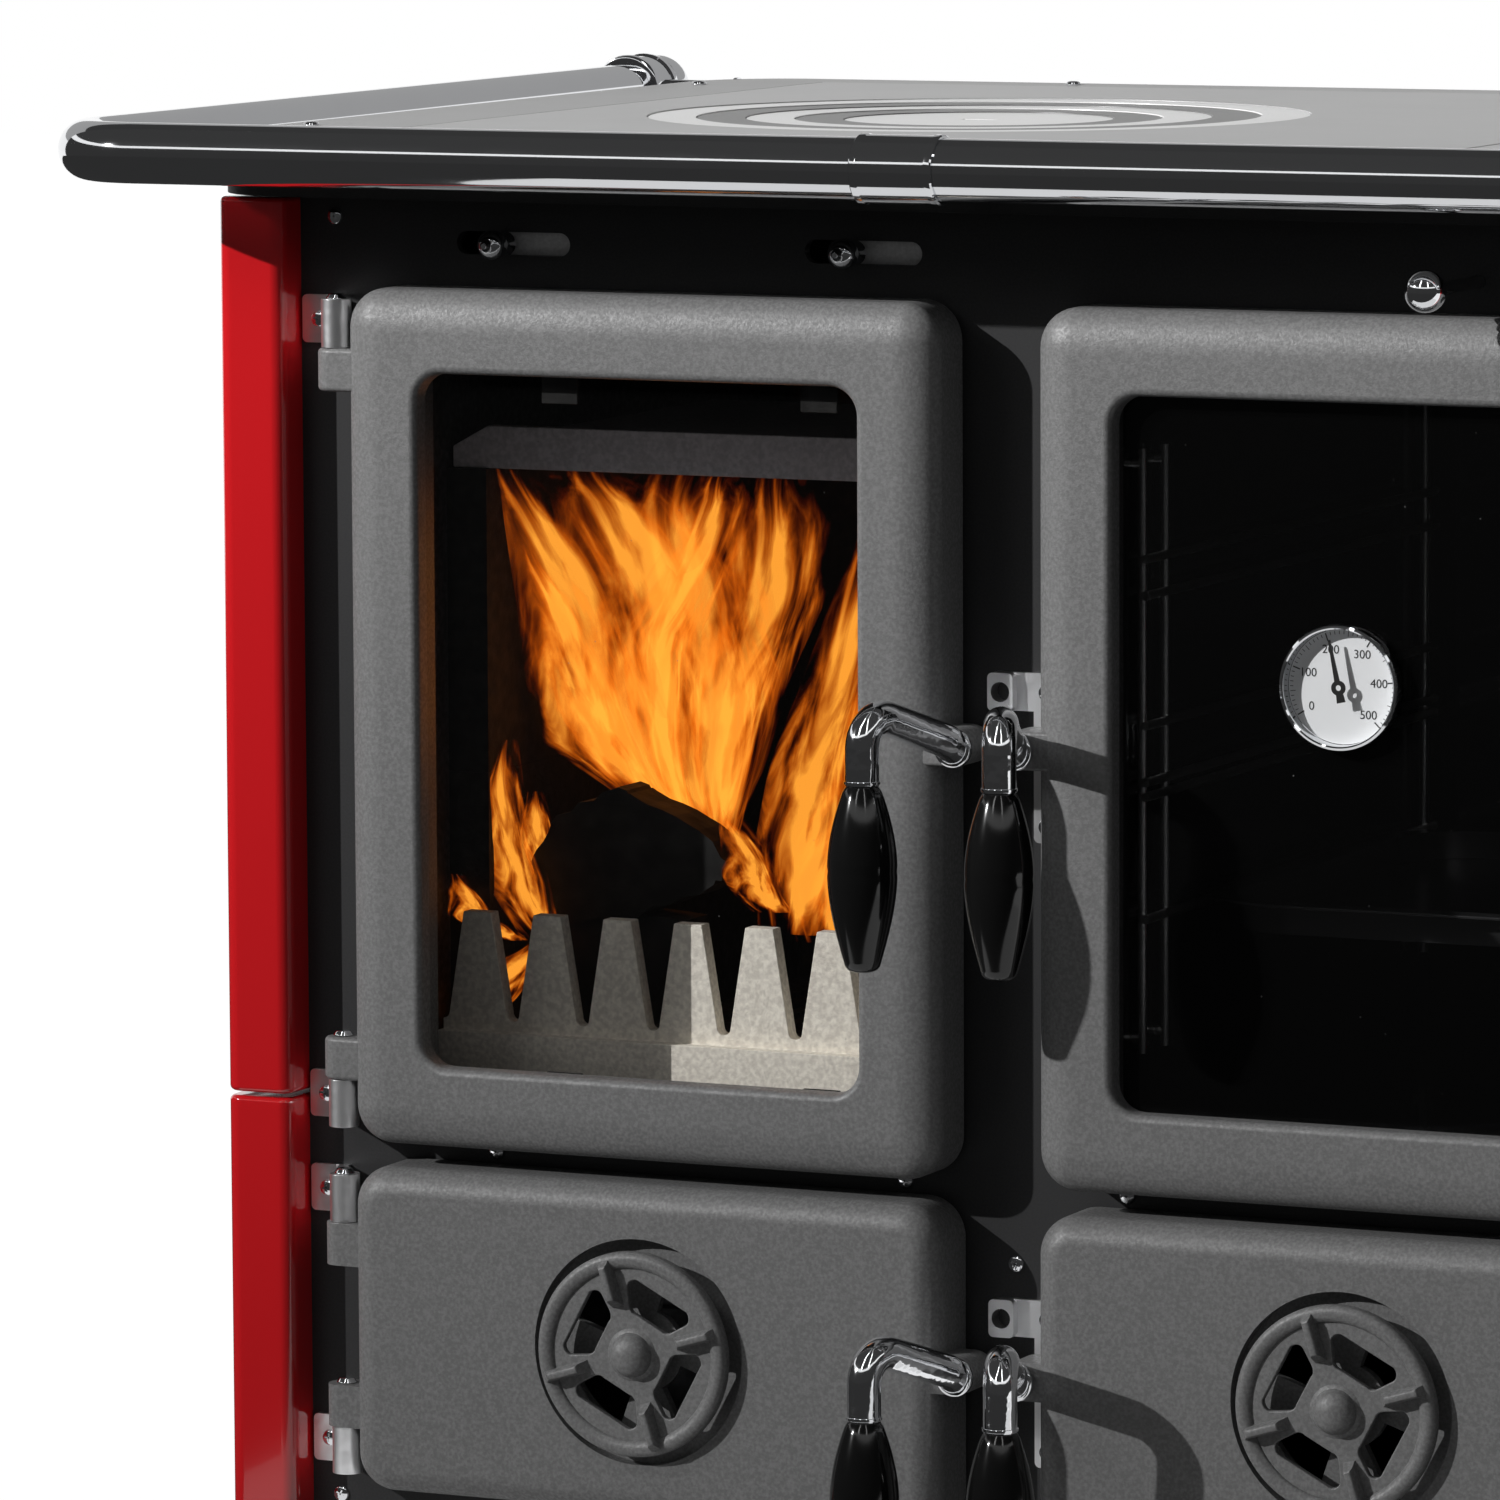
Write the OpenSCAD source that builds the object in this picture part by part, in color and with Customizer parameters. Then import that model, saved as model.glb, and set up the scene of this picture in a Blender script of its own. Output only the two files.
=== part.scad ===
// Cast iron range cooker for wood: a firebox on the left, an oven on the right,
// a ring hob on top and a towel rail round it.
// Working frame: X to the right, Y to the back with the front frame's face at 0,
// Z up from the floor. at_home() then centres the whole cooker over the origin.

/* [Doors] */
// Width of every door
door_w = 359; // [340:1:380]
// Height of the firebox and oven doors
upper_door_h = 480; // [460:1:500]
// Height of the ash and store doors
lower_door_h = 185; // [175:1:195]
// Upright gap between an upper and a lower door
door_gap = 13; // [10:1:18]
// Width of the bare column between the left and right doors
column_w = 58; // [54:1:66]
// How far a door's face stands in front of the front frame
door_proud = 46; // [44:1:50]
// Air gap between a closed door and the front frame
door_air = 3; // [2:0.5:4]
// Radius of a door's corners, seen from the front
door_corner = 22; // [18:1:26]
// Radius of the soft edge round a door's face
door_edge = 15; // [10:1:17]
// Width of the iron border round a window
window_border = 46; // [42:1:50]
// Radius of a window's corners
window_corner = 16; // [10:1:20]
// Depth from a door's face to its glass
glass_depth = 13; // [10:1:16]
// Thickness of a door glass
glass_t = 4; // [3:0.5:5]
// Lap of the glass behind its iron border
glass_lap = 10; // [8:1:13]

/* [Hinges] */
// Distance from a door's edge to its hinge pin
pin_offset = 11.5; // [11:0.5:13]
// Distance from the front frame to the hinge pins
pin_reach = 28; // [26:1:30]
// Diameter of a hinge pin
pin_d = 8; // [6:0.5:9]
// Height of a hinge bracket
bracket_h = 27; // [22:1:30]
// Outer radius of a bracket's knuckle
knuckle_r = 8.5; // [7:0.5:9]
// Height of a hinge ear on a door
ear_h = 24; // [18:1:26]
// Outer radius of a hinge ear
ear_r = 10.3; // [8:0.1:10.5]
// Distance from a door's end to its hinge bracket
bracket_inset = 7; // [5:1:12]
// Thickness of the hinge bracket plate
bracket_t = 3; // [2:0.5:4]

/* [Handles] */
// Distance of a handle's pivot from a door's edge
pivot_out = 11; // [10:0.5:12]
// Diameter of a handle shaft
shaft_d = 10; // [8:0.5:11]
// Radius of the lug that carries a handle
lug_r = 10.5; // [9:0.5:11]
// Diameter of the bent chrome arm
arm_d = 18; // [15:1:20]
// Distance from the front frame to the middle of a grip
arm_reach = 115; // [108:1:122]
// Sideways set of a grip from its pivot
arm_side = 22; // [18:1:25]
// Height of the elbow above the pivot
arm_rise = 28; // [22:1:32]
// Distance from the elbow down to the grip
neck_h = 41; // [36:1:48]
// Length of a grip
grip_h = 101; // [90:1:110]
// Greatest diameter of a grip
grip_d = 38; // [32:1:40]

/* [Air registers] */
// Diameter of a register disc
disc_d = 115; // [108:1:117]
// Gap round a register disc, out to the wall of its recess
recess_gap = 6; // [4:0.5:8]
// Depth of the round recess
recess_depth = 9; // [7:1:11]
// Number of air holes in a register
air_holes = 4; // [3:1:5]
// Angle that one air hole takes
hole_angle = 44; // [32:1:46]
// Angle at which the first hole of a disc stands, seen from the front
disc_turn = 63; // [50:1:80]
// Angle by which a disc stands turned from fully open
disc_rest = 14; // [8:1:18]

/* [Body] */
// Height of the levelling feet under the plinth
foot_h = 20; // [15:1:30]
// Height of the plinth
plinth_h = 42; // [36:1:60]
// Height of the bare band under the lower doors
low_band = 36; // [30:1:44]
// Height of the band with the air slides over the upper doors
top_band = 50; // [48:1:60]
// Room beside a door for its hinges
hinge_margin = 48; // [46:1:54]
// Depth of the body behind the front frame's face
body_d = 640; // [600:1:660]
// Thickness of the front frame
frame_t = 6; // [5:0.5:8]
// Thickness of the sheet walls
sheet_t = 4; // [3:0.5:5]
// Thickness of the enamelled cladding
clad_t = 42; // [38:1:46]
// How far the cladding stands in front of the front frame
clad_proud = 24; // [18:1:30]
// Gap between upper and lower cladding
clad_gap = 2.5; // [1.5:0.5:5]
// Height of the cladding joint above the upper doors' lower edge
clad_split = 19; // [10:1:30]
// Radius of the cladding's front edge
clad_edge = 10; // [6:1:14]

/* [Hob] */
// Height of the hob's rim
rim_h = 34; // [30:1:40]
// Thickness of the hob's rim
rim_t = 6; // [5:0.5:8]
// How far the hob reaches past the cladding
hob_side = 4; // [2:1:8]
// How far the hob reaches in front of the front frame
hob_front = 45; // [40:1:50]
// How far the hob reaches behind the body
hob_rear = 25; // [15:1:35]
// Radius of the hob's corners
hob_corner = 60; // [45:1:70]
// Thickness of the hob plates
plate_t = 12; // [10:1:14]
// Width of the hob's front and back bands
band_y = 38; // [30:1:45]
// Width of the hob's side bands
band_x = 82; // [76:1:90]
// Width of the small side plate
side_plate_w = 160; // [140:1:180]
// Radius of the centre plug
plug_r = 78; // [70:1:84]
// Width of one hob ring
ring_w = 28.3; // [24:0.1:30]
// Sideways place of the rings, left of the column
ring_x = -152; // [-160:1:-140]
// Place of the rings behind the front frame
ring_y = 300; // [280:1:320]
// Width of the ledge that carries each ring
ledge_w = 5; // [4:0.5:6]
// How much lower each ring sits than the one round it
ring_step = 0.6; // [0:0.1:0.8]

/* [Towel rail] */
// Diameter of the rail
rail_d = 34; // [28:1:38]
// Wall of the rail's tube
rail_wall = 2; // [1.5:0.5:3]
// Clear gap between the rail and the hob
rail_gap = 37.5; // [32:0.5:44]
// Distance of the rail's axis under the hob surface
rail_drop = 8; // [6:1:14]
// Radius of the rail's two bends
rail_bend = 50; // [45:1:60]
// How far the rail reaches behind the hob
rail_past = 30; // [20:1:40]
// Length of the sleeve at the front
sleeve_len = 48; // [40:1:60]
// Sideways place of the sleeve
sleeve_x = -22; // [-40:1:40]
// Wall of the sleeve
sleeve_wall = 2; // [1.5:0.5:3]

/* [Controls] */
// Length of an air slide's slot
slot_len = 70; // [64:1:76]
// Height of an air slide's slot
slot_h = 13; // [11:0.5:15]
// Distance of the left slot's middle from the door's middle
slot_left_out = 94.5; // [88:0.5:101]
// Distance of the right slot's middle from the door's middle
slot_right_out = 118.5; // [113:0.5:124]
// Height of the slots above the upper doors
slot_rise = 24; // [20:1:26]
// Diameter of an air slide's knob
air_knob_d = 17; // [14:0.5:18]
// Place of the damper rod, right of the column
damper_x = 267.5; // [260:0.5:275]
// Diameter of the damper rod
damper_rod_d = 7; // [6:0.5:9]
// Diameter of the damper's ball knob
damper_ball_d = 22.5; // [20:0.5:24]
// How far the damper's ball stands out
damper_out = 80; // [74:1:90]

/* [Fire and oven] */
// Thickness of the firebox castings
fire_wall = 8; // [6:1:10]
// Depth of the firebox
fire_depth = 500; // [460:1:530]
// Thickness of the fire bricks
brick_t = 25; // [20:1:28]
// Height of the fence that keeps logs off the glass
fence_h = 96; // [80:1:110]
// Number of teeth on the fence
fence_teeth = 7; // [5:1:8]
// Thickness of the oven liner
liner_t = 3; // [2:0.5:4]
// Depth of the oven
oven_depth = 470; // [430:1:500]
// Diameter of the oven's guide wires
wire_d = 5; // [4:0.5:6]
// Outer diameter of the flue spigot
flue_d = 150; // [140:1:155]
// Length of the flue spigot behind the body
flue_len = 48; // [40:1:52]
// Wall of the flue spigot
flue_wall = 4; // [3:0.5:5]
// Diameter of the oven thermometer
thermo_d = 68; // [60:1:72]
// Place of the thermometer, left of the oven door's middle
thermo_left = 4.5; // [0:0.5:10]
// Height of the thermometer above the middle of the oven door
thermo_rise = 42; // [30:1:60]

/* [Hidden] */
$fn = 64;

// Clearances
seat = 0.3;
running = 0.05;

// Heights
base_z = foot_h + plinth_h;
lower_z0 = base_z + low_band;
lower_z1 = lower_z0 + lower_door_h;
upper_z0 = lower_z1 + door_gap;
upper_z1 = upper_z0 + upper_door_h;
rim_z0 = upper_z1 + top_band;
hob_top = rim_z0 + rim_h;
plate_z0 = hob_top - plate_t;
shelf_t = 6;
frame_top = plate_z0 - shelf_t;
upper_mid = (upper_z0 + upper_z1) / 2;
lower_mid = (lower_z0 + lower_z1) / 2;
slot_z = upper_z1 + slot_rise;
damper_z = upper_z1 + 17;

// Widths, mirrored about X = 0
door_x0 = column_w / 2;
door_x1 = door_x0 + door_w;
door_mid = (door_x0 + door_x1) / 2;
slot_left_x = -door_mid - slot_left_out;
slot_right_x = -door_mid + slot_right_out;
pin_x = door_x1 + pin_offset;
body_x = door_x1 + hinge_margin;
clad_x = body_x + clad_t;
hob_x = clad_x + hob_side;
pivot_x = door_x0 - pivot_out;

// Depths
door_front = -door_proud;
door_back = -door_air;
glass_y0 = door_front + glass_depth;
glass_y1 = glass_y0 + glass_t;
hob_y0 = -hob_front;
hob_y1 = body_d + hob_rear;
wall_y1 = body_d - sheet_t;

// Front frame openings, inside the doors' cover
open_x0 = door_x0 + 31;
open_x1 = door_x1 - 24;
upper_open_z0 = upper_z0 + 34;
upper_open_z1 = upper_z1 - 36;
lower_open_z0 = lower_z0 + 12;
lower_open_z1 = lower_z1 - 12;

// Decks
deck_t = 4;
lower_deck_z = lower_open_z0 - deck_t;
upper_deck_z = upper_z0 - 6;
upper_deck_top = upper_deck_z + deck_t;

// Firebox
fire_x0 = door_x0 + 16;
fire_x1 = door_x1 - 8;
fire_y0 = frame_t;
fire_y1 = frame_t + fire_depth;
fire_floor = upper_deck_top + 30;
brick_top = upper_open_z1 - 71;
fence_y = 30;
fence_t = 10;
grate_x0 = fire_x0 + 58;
grate_x1 = fire_x1 - 58;
grate_y0 = 60;
grate_y1 = fire_y1 - 90;

// Oven
oven_x0 = open_x0;
oven_x1 = open_x1;
oven_y1 = frame_t + oven_depth;
oven_z0 = upper_open_z0 - 5;
oven_z1 = upper_open_z1 + 16;
rung_z = [for (up = [117, 184, 192, 223, 294, 314]) oven_z0 + up];
guide_y0 = 22;
guide_y1 = oven_y1 - 24;

// Flue
flue_x = damper_x;
flue_flange_d = flue_d + 26;
flue_z = frame_top - flue_flange_d / 2 - 19;

// Towel rail
rail_r = rail_d / 2;
rail_y = hob_y0 - rail_gap - rail_r;
rail_x = hob_x + rail_gap + rail_r;
rail_z = hob_top - rail_drop;
rail_end = hob_y1 + rail_past;
cap_r = rail_r + 4;
collar_r = rail_r + 5.5;
cap_plug = 10;
collar_y1 = rail_end - cap_r - 12;
collar_y0 = collar_y1 - 32;
post_d = 14;

// Whole cooker
front_reach = arm_reach + grip_d / 2;
back_reach = rail_end;
home_y = (front_reach - back_reach) / 2;

// Colours
iron = [0.37, 0.37, 0.38];
dark = [0.09, 0.09, 0.1];
enamel = [0.72, 0.1, 0.1];
bright = [0.82, 0.83, 0.85];
hob_grey = [0.72, 0.72, 0.71];
steel = [0.5, 0.5, 0.52];
black = [0.03, 0.03, 0.03];
smoked = [0.12, 0.12, 0.13, 0.7];

// ---------- shared shapes ----------

// Everything moves as one so that the cooker stands centred over the origin
module at_home() {
    translate([0, home_y, 0]) children();
}

module both_sides() {
    children();
    mirror([1, 0, 0]) children();
}

// Left-hand copy of what is written for the right-hand side
module on_left() {
    mirror([1, 0, 0]) children();
}

// Box from ranges [low, high] along X, Y and Z
module block(x, y, z) {
    translate([x[0], y[0], z[0]]) cube([x[1] - x[0], y[1] - y[0], z[1] - z[0]]);
}

// Round bar along Y
module bar_y(x, z, y, d) {
    translate([x, y[0], z]) rotate([-90, 0, 0]) cylinder(d = d, h = y[1] - y[0]);
}

// Round bar along X
module bar_x(y, z, x, d) {
    translate([x[0], y, z]) rotate([0, 90, 0]) cylinder(d = d, h = x[1] - x[0]);
}

// Round bar between two points
module bar(p, q, d) {
    v = q - p;
    len = norm(v);
    translate(p)
        rotate([0, acos(v[2] / len), atan2(v[1], v[0])])
            cylinder(d = d, h = len);
}

// Rectangle in X and Z with round corners, running along Y
module round_block(x, y, z, r) {
    block([x[0] + r, x[1] - r], y, z);
    block(x, y, [z[0] + r, z[1] - r]);
    for (cx = [x[0] + r, x[1] - r], cz = [z[0] + r, z[1] - r])
        bar_y(cx, cz, y, 2 * r);
}

// Rectangle in X and Y with round corners, running along Z
module round_plate(x, y, z, r) {
    block([x[0] + r, x[1] - r], y, z);
    block(x, [y[0] + r, y[1] - r], z);
    for (cx = [x[0] + r, x[1] - r], cy = [y[0] + r, y[1] - r])
        translate([cx, cy, z[0]]) cylinder(r = r, h = z[1] - z[0]);
}

// Section through a soft-edged slab: width w, depth t, front edges rounded by r
module soft_section(w, t, r) {
    translate([r, 0]) square([w - 2 * r, t]);
    translate([0, r]) square([w, t - r]);
    translate([r, r]) circle(r);
    translate([w - r, r]) circle(r);
}

// Slab in X and Z whose front edge is rounded all the way round
module soft_slab(x, y, z, corner, edge) {
    t = y[1] - y[0];
    translate([x[1] - corner, y[0], z[0]]) rotate([0, -90, 0])
        linear_extrude(x[1] - x[0] - 2 * corner) soft_section(z[1] - z[0], t, edge);
    translate([x[0], y[0], z[0] + corner])
        linear_extrude(z[1] - z[0] - 2 * corner) soft_section(x[1] - x[0], t, edge);
    for (cx = [x[0] + corner, x[1] - corner], cz = [z[0] + corner, z[1] - corner])
        translate([cx, y[0], cz]) rotate([-90, 0, 0]) rotate_extrude() {
            square([corner - edge, t]);
            translate([0, edge]) square([corner, t - edge]);
            intersection() {
                translate([corner - edge, edge]) circle(edge);
                square([corner, edge]);
            }
        }
}

// Sector of a ring in 2-D, centred on the angle a
module ring_sector(r0, r1, a, width) {
    far = r1 * 1.5;
    intersection() {
        difference() {
            circle(r1);
            circle(r0);
        }
        polygon([[0, 0],
            [far * cos(a - width / 2), far * sin(a - width / 2)],
            [far * cos(a), far * sin(a)],
            [far * cos(a + width / 2), far * sin(a + width / 2)]]);
    }
}

// Cross-head screw lying on a face that looks towards -Y
screw_head_r = 4.6;
screw_head_t = 2.2;
screw_len = 5;
screw_d = 4;
screw_hole_d = screw_d + 0.2;
module front_screw(x, z, y) {
    difference() {
        union() {
            translate([x, y, z]) rotate([90, 0, 0]) cylinder(r1 = screw_head_r, r2 = screw_head_r - 1.4, h = screw_head_t);
            bar_y(x, z, [y, y + screw_len], screw_d);
        }
        for (turn = [0, 90])
            translate([x, y - screw_head_t, z]) rotate([0, turn + 20, 0]) cube([5, 2, 1], center = true);
    }
}

// ---------- carcase ----------

foot_x = body_x - 40;
foot_y = [60, body_d - 60];
foot_pad_h = 9;
foot_stem_d = 12;
module levelling_feet() {
    color(black) at_home() both_sides() for (y = foot_y) {
        translate([foot_x, y, 0]) cylinder(d1 = 50, d2 = 44, h = foot_pad_h);
        translate([foot_x, y, 0]) cylinder(d = foot_stem_d, h = base_z - 8);
        translate([foot_x, y, foot_h - 7]) cylinder(d = 24, h = 7, $fn = 6);
    }
}

plinth_in = 6;
plinth_y = [24, body_d - 24];
plinth_wall = 3;
module plinth() {
    px = body_x - plinth_in;
    color(dark) at_home() difference() {
        union() {
            difference() {
                block([-px, px], plinth_y, [foot_h, base_z]);
                block([-px + plinth_wall, px - plinth_wall],
                    [plinth_y[0] + plinth_wall, plinth_y[1] - plinth_wall], [foot_h - 1, base_z + 1]);
            }
            both_sides() for (y = foot_y)
                block([foot_x - 35, px], [max(plinth_y[0], y - 36), min(plinth_y[1], y + 36)], [foot_h, foot_h + 5]);
        }
        both_sides() for (y = foot_y)
            translate([foot_x, y, foot_h - 1]) cylinder(d = foot_stem_d + 2 * running, h = 7);
    }
}

module base_panel() {
    color(dark) at_home() block([-body_x, body_x], [0, body_d], [base_z, base_z + sheet_t]);
}

wall_z0 = base_z + sheet_t;
module side_walls() {
    color(dark) at_home() both_sides()
        block([body_x - sheet_t, body_x], [frame_t, wall_y1], [wall_z0, frame_top]);
}

flue_hole_d = flue_d - 2 * flue_wall;
module back_panel() {
    color(dark) at_home() difference() {
        block([-body_x, body_x], [wall_y1, body_d], [wall_z0, frame_top]);
        bar_y(flue_x, flue_z, [wall_y1 - 1, body_d + 1], flue_hole_d);
    }
}

// Lower deck under drawer and store, upper deck under firebox and oven
module decks() {
    color(dark) at_home() {
        block([-body_x + sheet_t, body_x - sheet_t], [frame_t, wall_y1], [lower_deck_z, lower_deck_z + deck_t]);
        difference() {
            block([-body_x + sheet_t, body_x - sheet_t], [frame_t, wall_y1], [upper_deck_z, upper_deck_top]);
            block([-grate_x1, -grate_x0], [grate_y0, grate_y1], [upper_deck_z - 1, upper_deck_top + 1]);
        }
    }
}

module middle_wall() {
    wall = [-sheet_t / 2, sheet_t / 2];
    depth = [frame_t, wall_y1];
    color(dark) at_home() {
        block(wall, depth, [wall_z0, lower_deck_z]);
        block(wall, depth, [lower_deck_z + deck_t, upper_deck_z]);
        block(wall, depth, [upper_deck_top, oven_z1 + liner_t]);
    }
}

// Strips behind the front frame that carry an air slide
slide_t = 3;
slide_y = frame_t + seat;
slide_half = 14;
module slide_guides(x) {
    for (side = [-1, 1]) {
        edge = slot_z + side * (slide_half + seat);
        lip = slot_z + side * (slide_half - 4);
        outer = slot_z + side * (slide_half + 5);
        run = [x - slot_len / 2 - 22, x + slot_len / 2 + 84];
        block(run, [frame_t, slide_y + slide_t + seat + 2], [min(edge, outer), max(edge, outer)]);
        block(run, [slide_y + slide_t + seat, slide_y + slide_t + seat + 2], [min(lip, outer), max(lip, outer)]);
    }
}

module front_frame() {
    damper_boss = 16;
    color(dark) at_home() difference() {
        union() {
            block([-body_x, body_x], [0, frame_t], [wall_z0, frame_top]);
            slide_guides(slot_left_x);
            slide_guides(slot_right_x);
            bar_y(damper_x, damper_z, [frame_t - 1, frame_t + 14], damper_boss);
        }
        both_sides() round_block([open_x0, open_x1], [-1, frame_t + 1], [upper_open_z0, upper_open_z1], 12);
        both_sides() round_block([open_x0, open_x1], [-1, frame_t + 1], [lower_open_z0, lower_open_z1], 8);
        for (x = [slot_left_x, slot_right_x])
            round_block([x - slot_len / 2, x + slot_len / 2], [-1, frame_t + 1],
                [slot_z - slot_h / 2, slot_z + slot_h / 2], slot_h / 2 - 0.1);
        bar_y(damper_x, damper_z, [-1, frame_t + 15], damper_rod_d + 2 * running);
        for (s = front_screws) bar_y(s[0], s[1], [-1, frame_t + 1], screw_hole_d);
    }
}

// ---------- enamelled cladding ----------

clad_z0 = base_z;
clad_z1 = rim_z0 - 2;
clad_joint = upper_z0 + clad_split;
clad_skin = 4;
clad_inner_edge = 8;
// Right-hand cladding between two heights; its hollow back rests on the side wall
module cladding(z0, z1) {
    back = body_d - 8;
    difference() {
        translate([body_x, -clad_proud, z0]) linear_extrude(z1 - z0) {
            translate([0, clad_edge]) square([clad_t, back + clad_proud - clad_edge]);
            translate([clad_inner_edge, 0]) square([clad_t - clad_inner_edge - clad_edge, clad_edge]);
            translate([0, clad_inner_edge]) square([clad_t - clad_edge, clad_edge]);
            translate([clad_inner_edge, clad_inner_edge]) circle(clad_inner_edge);
            translate([clad_t - clad_edge, clad_edge]) circle(clad_edge);
        }
        block([body_x - 1, clad_x - clad_skin], [30, back - 20], [z0 + 14, z1 - 14]);
    }
}

module cladding_right_upper() {
    color(enamel) at_home() cladding(clad_joint + clad_gap, clad_z1);
}

module cladding_right_lower() {
    color(enamel) at_home() cladding(clad_z0, clad_joint);
}

module cladding_left_upper() {
    color(enamel) at_home() on_left() cladding(clad_joint + clad_gap, clad_z1);
}

module cladding_left_lower() {
    color(enamel) at_home() on_left() cladding(clad_z0, clad_joint);
}

// ---------- firebox ----------

fire_top = upper_z1 + 2;
module firebox_shell() {
    color(iron) at_home() on_left() difference() {
        block([fire_x0, fire_x1], [fire_y0, fire_y1], [upper_deck_top, fire_top]);
        block([fire_x0 + fire_wall, fire_x1 - fire_wall], [fire_y0 - 1, fire_y1 - fire_wall], [fire_floor, fire_top + 1]);
        block([grate_x0, grate_x1], [grate_y0, grate_y1], [upper_deck_top - 1, fire_floor + 1]);
        block([fire_x0 + fire_wall, fire_x1 - fire_wall], [fire_y0 - 1, grate_y0 - 10], [upper_deck_top + 8, fire_floor - 8]);
    }
}

brick_x0 = fire_x0 + fire_wall;
brick_x1 = fire_x1 - fire_wall;
brick_y1 = fire_y1 - fire_wall;
brick_y0 = 52;
module fire_bricks() {
    rows = 2;
    row_h = (brick_top - fire_floor) / rows;
    color([0.62, 0.55, 0.45]) at_home() on_left() for (row = [0 : rows - 1]) {
        z = [fire_floor + row * row_h, fire_floor + (row + 1) * row_h - seat];
        block([brick_x0, brick_x0 + brick_t], [brick_y0, brick_y1 - brick_t], z);
        block([brick_x1 - brick_t, brick_x1], [brick_y0, brick_y1 - brick_t], z);
        block([brick_x0, brick_x1], [brick_y1 - brick_t, brick_y1], z);
    }
}

grate_t = 12;
module fire_grate() {
    bars = 11;
    pitch = (grate_x1 - grate_x0 - 20) / bars;
    color(iron) at_home() on_left() difference() {
        union() {
            block([grate_x0 + seat, grate_x1 - seat], [grate_y0 + seat, grate_y1 - seat], [fire_floor - grate_t, fire_floor]);
            block([grate_x0 - 10, grate_x1 + 10], [grate_y0 - 6, grate_y1 + 10], [fire_floor, fire_floor + 5]);
        }
        for (k = [0 : bars - 1], half = [0, 1])
            block([grate_x0 + 10 + (k + 0.25) * pitch, grate_x0 + 10 + (k + 0.75) * pitch],
                [grate_y0 + 12 + half * (grate_y1 - grate_y0) / 2, (1 - half) * (grate_y0 + grate_y1) / 2 + half * grate_y1 - 12],
                [fire_floor - grate_t - 1, fire_floor + 6]);
    }
}

// Front fence with tapered teeth, standing on the firebox floor
fence_x0 = brick_x0 + 6;
fence_x1 = brick_x1 - 6;
tooth_pitch = (fence_x1 - fence_x0) / fence_teeth;
tooth_h = fence_h * 0.64;
gap_top = 27;
gap_low = 8;
module fire_fence() {
    z1 = fire_floor + fence_h;
    root = z1 - tooth_h;
    color([0.66, 0.63, 0.58]) at_home() on_left() {
        difference() {
            block([fence_x0, fence_x1], [fence_y, fence_y + fence_t], [fire_floor, z1]);
            for (k = [0 : fence_teeth])
                translate([fence_x0 + k * tooth_pitch, fence_y - 1, 0]) {
                    rotate([90, 0, 0]) translate([0, 0, -fence_t - 2]) linear_extrude(fence_t + 2)
                        polygon([[-gap_low / 2, root + gap_low / 2], [gap_low / 2, root + gap_low / 2],
                            [gap_top / 2, z1 + 1], [-gap_top / 2, z1 + 1]]);
                    bar_y(0, root + gap_low / 2, [0, fence_t + 2], gap_low);
                }
        }
        block([fence_x0, fence_x1], [fence_y - 8, fence_y], [fire_floor, root - 6]);
    }
}

baffle_y = [56, 400];
baffle_t = 12;
lip_h = 24;
module baffle_plate() {
    x = [brick_x0 + 2, brick_x1 - 2];
    chamfer = 22;
    color([0.3, 0.28, 0.3]) at_home() on_left() {
        block(x, baffle_y, [brick_top, brick_top + baffle_t]);
        translate([0, baffle_y[0] + 10, 0]) rotate([90, 0, 0]) linear_extrude(10)
            polygon([[x[0], brick_top + baffle_t], [x[1], brick_top + baffle_t],
                [x[1] - chamfer, brick_top + lip_h], [x[0] + chamfer, brick_top + lip_h]]);
    }
}

// ---------- oven ----------

guide_tab_y = [440, 452];
module oven_liner() {
    tab_r = 14;
    color([0.2, 0.2, 0.22]) at_home() difference() {
        union() {
            difference() {
                block([oven_x0 - liner_t, oven_x1 + liner_t], [frame_t, oven_y1 + liner_t], [oven_z0 - liner_t, oven_z1 + liner_t]);
                block([oven_x0, oven_x1], [frame_t - 1, oven_y1], [oven_z0, oven_z1]);
            }
            // Feet on the upper deck
            for (y = [30, oven_y1 - 50])
                block([oven_x0 + 20, oven_x1 - 20], [y, y + 30], [upper_deck_top, oven_z0 - liner_t]);
            // Tab that guides the damper rod
            block([damper_x - tab_r, damper_x + tab_r], guide_tab_y, [oven_z1 + liner_t, damper_z]);
            bar_y(damper_x, damper_z, guide_tab_y, 2 * tab_r);
        }
        bar_y(damper_x, damper_z, [guide_tab_y[0] - 1, guide_tab_y[1] + 1], damper_rod_d + 2 * running);
    }
}

stand = 3;
weld = 1;
module rack_guides() {
    z = [oven_z0 + 40, oven_z1 - 60];
    middle = (oven_x0 + oven_x1) / 2;
    half = (oven_x1 - oven_x0) / 2;
    color(bright) at_home() translate([middle, 0, 0]) both_sides() {
        wire_x = half - stand - wire_d / 2;
        for (y = [guide_y0, guide_y0 + 32, guide_y1]) {
            translate([wire_x, y, z[0]]) cylinder(d = wire_d, h = z[1] - z[0], $fn = 24);
            for (fix = [z[0] + 8, z[1] - 8])
                bar_x(y, fix, [wire_x, half], wire_d);
        }
        for (level = rung_z)
            bar_y(wire_x - wire_d + weld, level - wire_d / 2, [guide_y0 - 6, guide_y1 + 6], wire_d);
    }
}

tray_h = 18;
tray_t = 2;
tray_rim = 12;
tray_corner = 60;
tray_y = [guide_y0 + 44, guide_y1 - 30];
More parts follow.
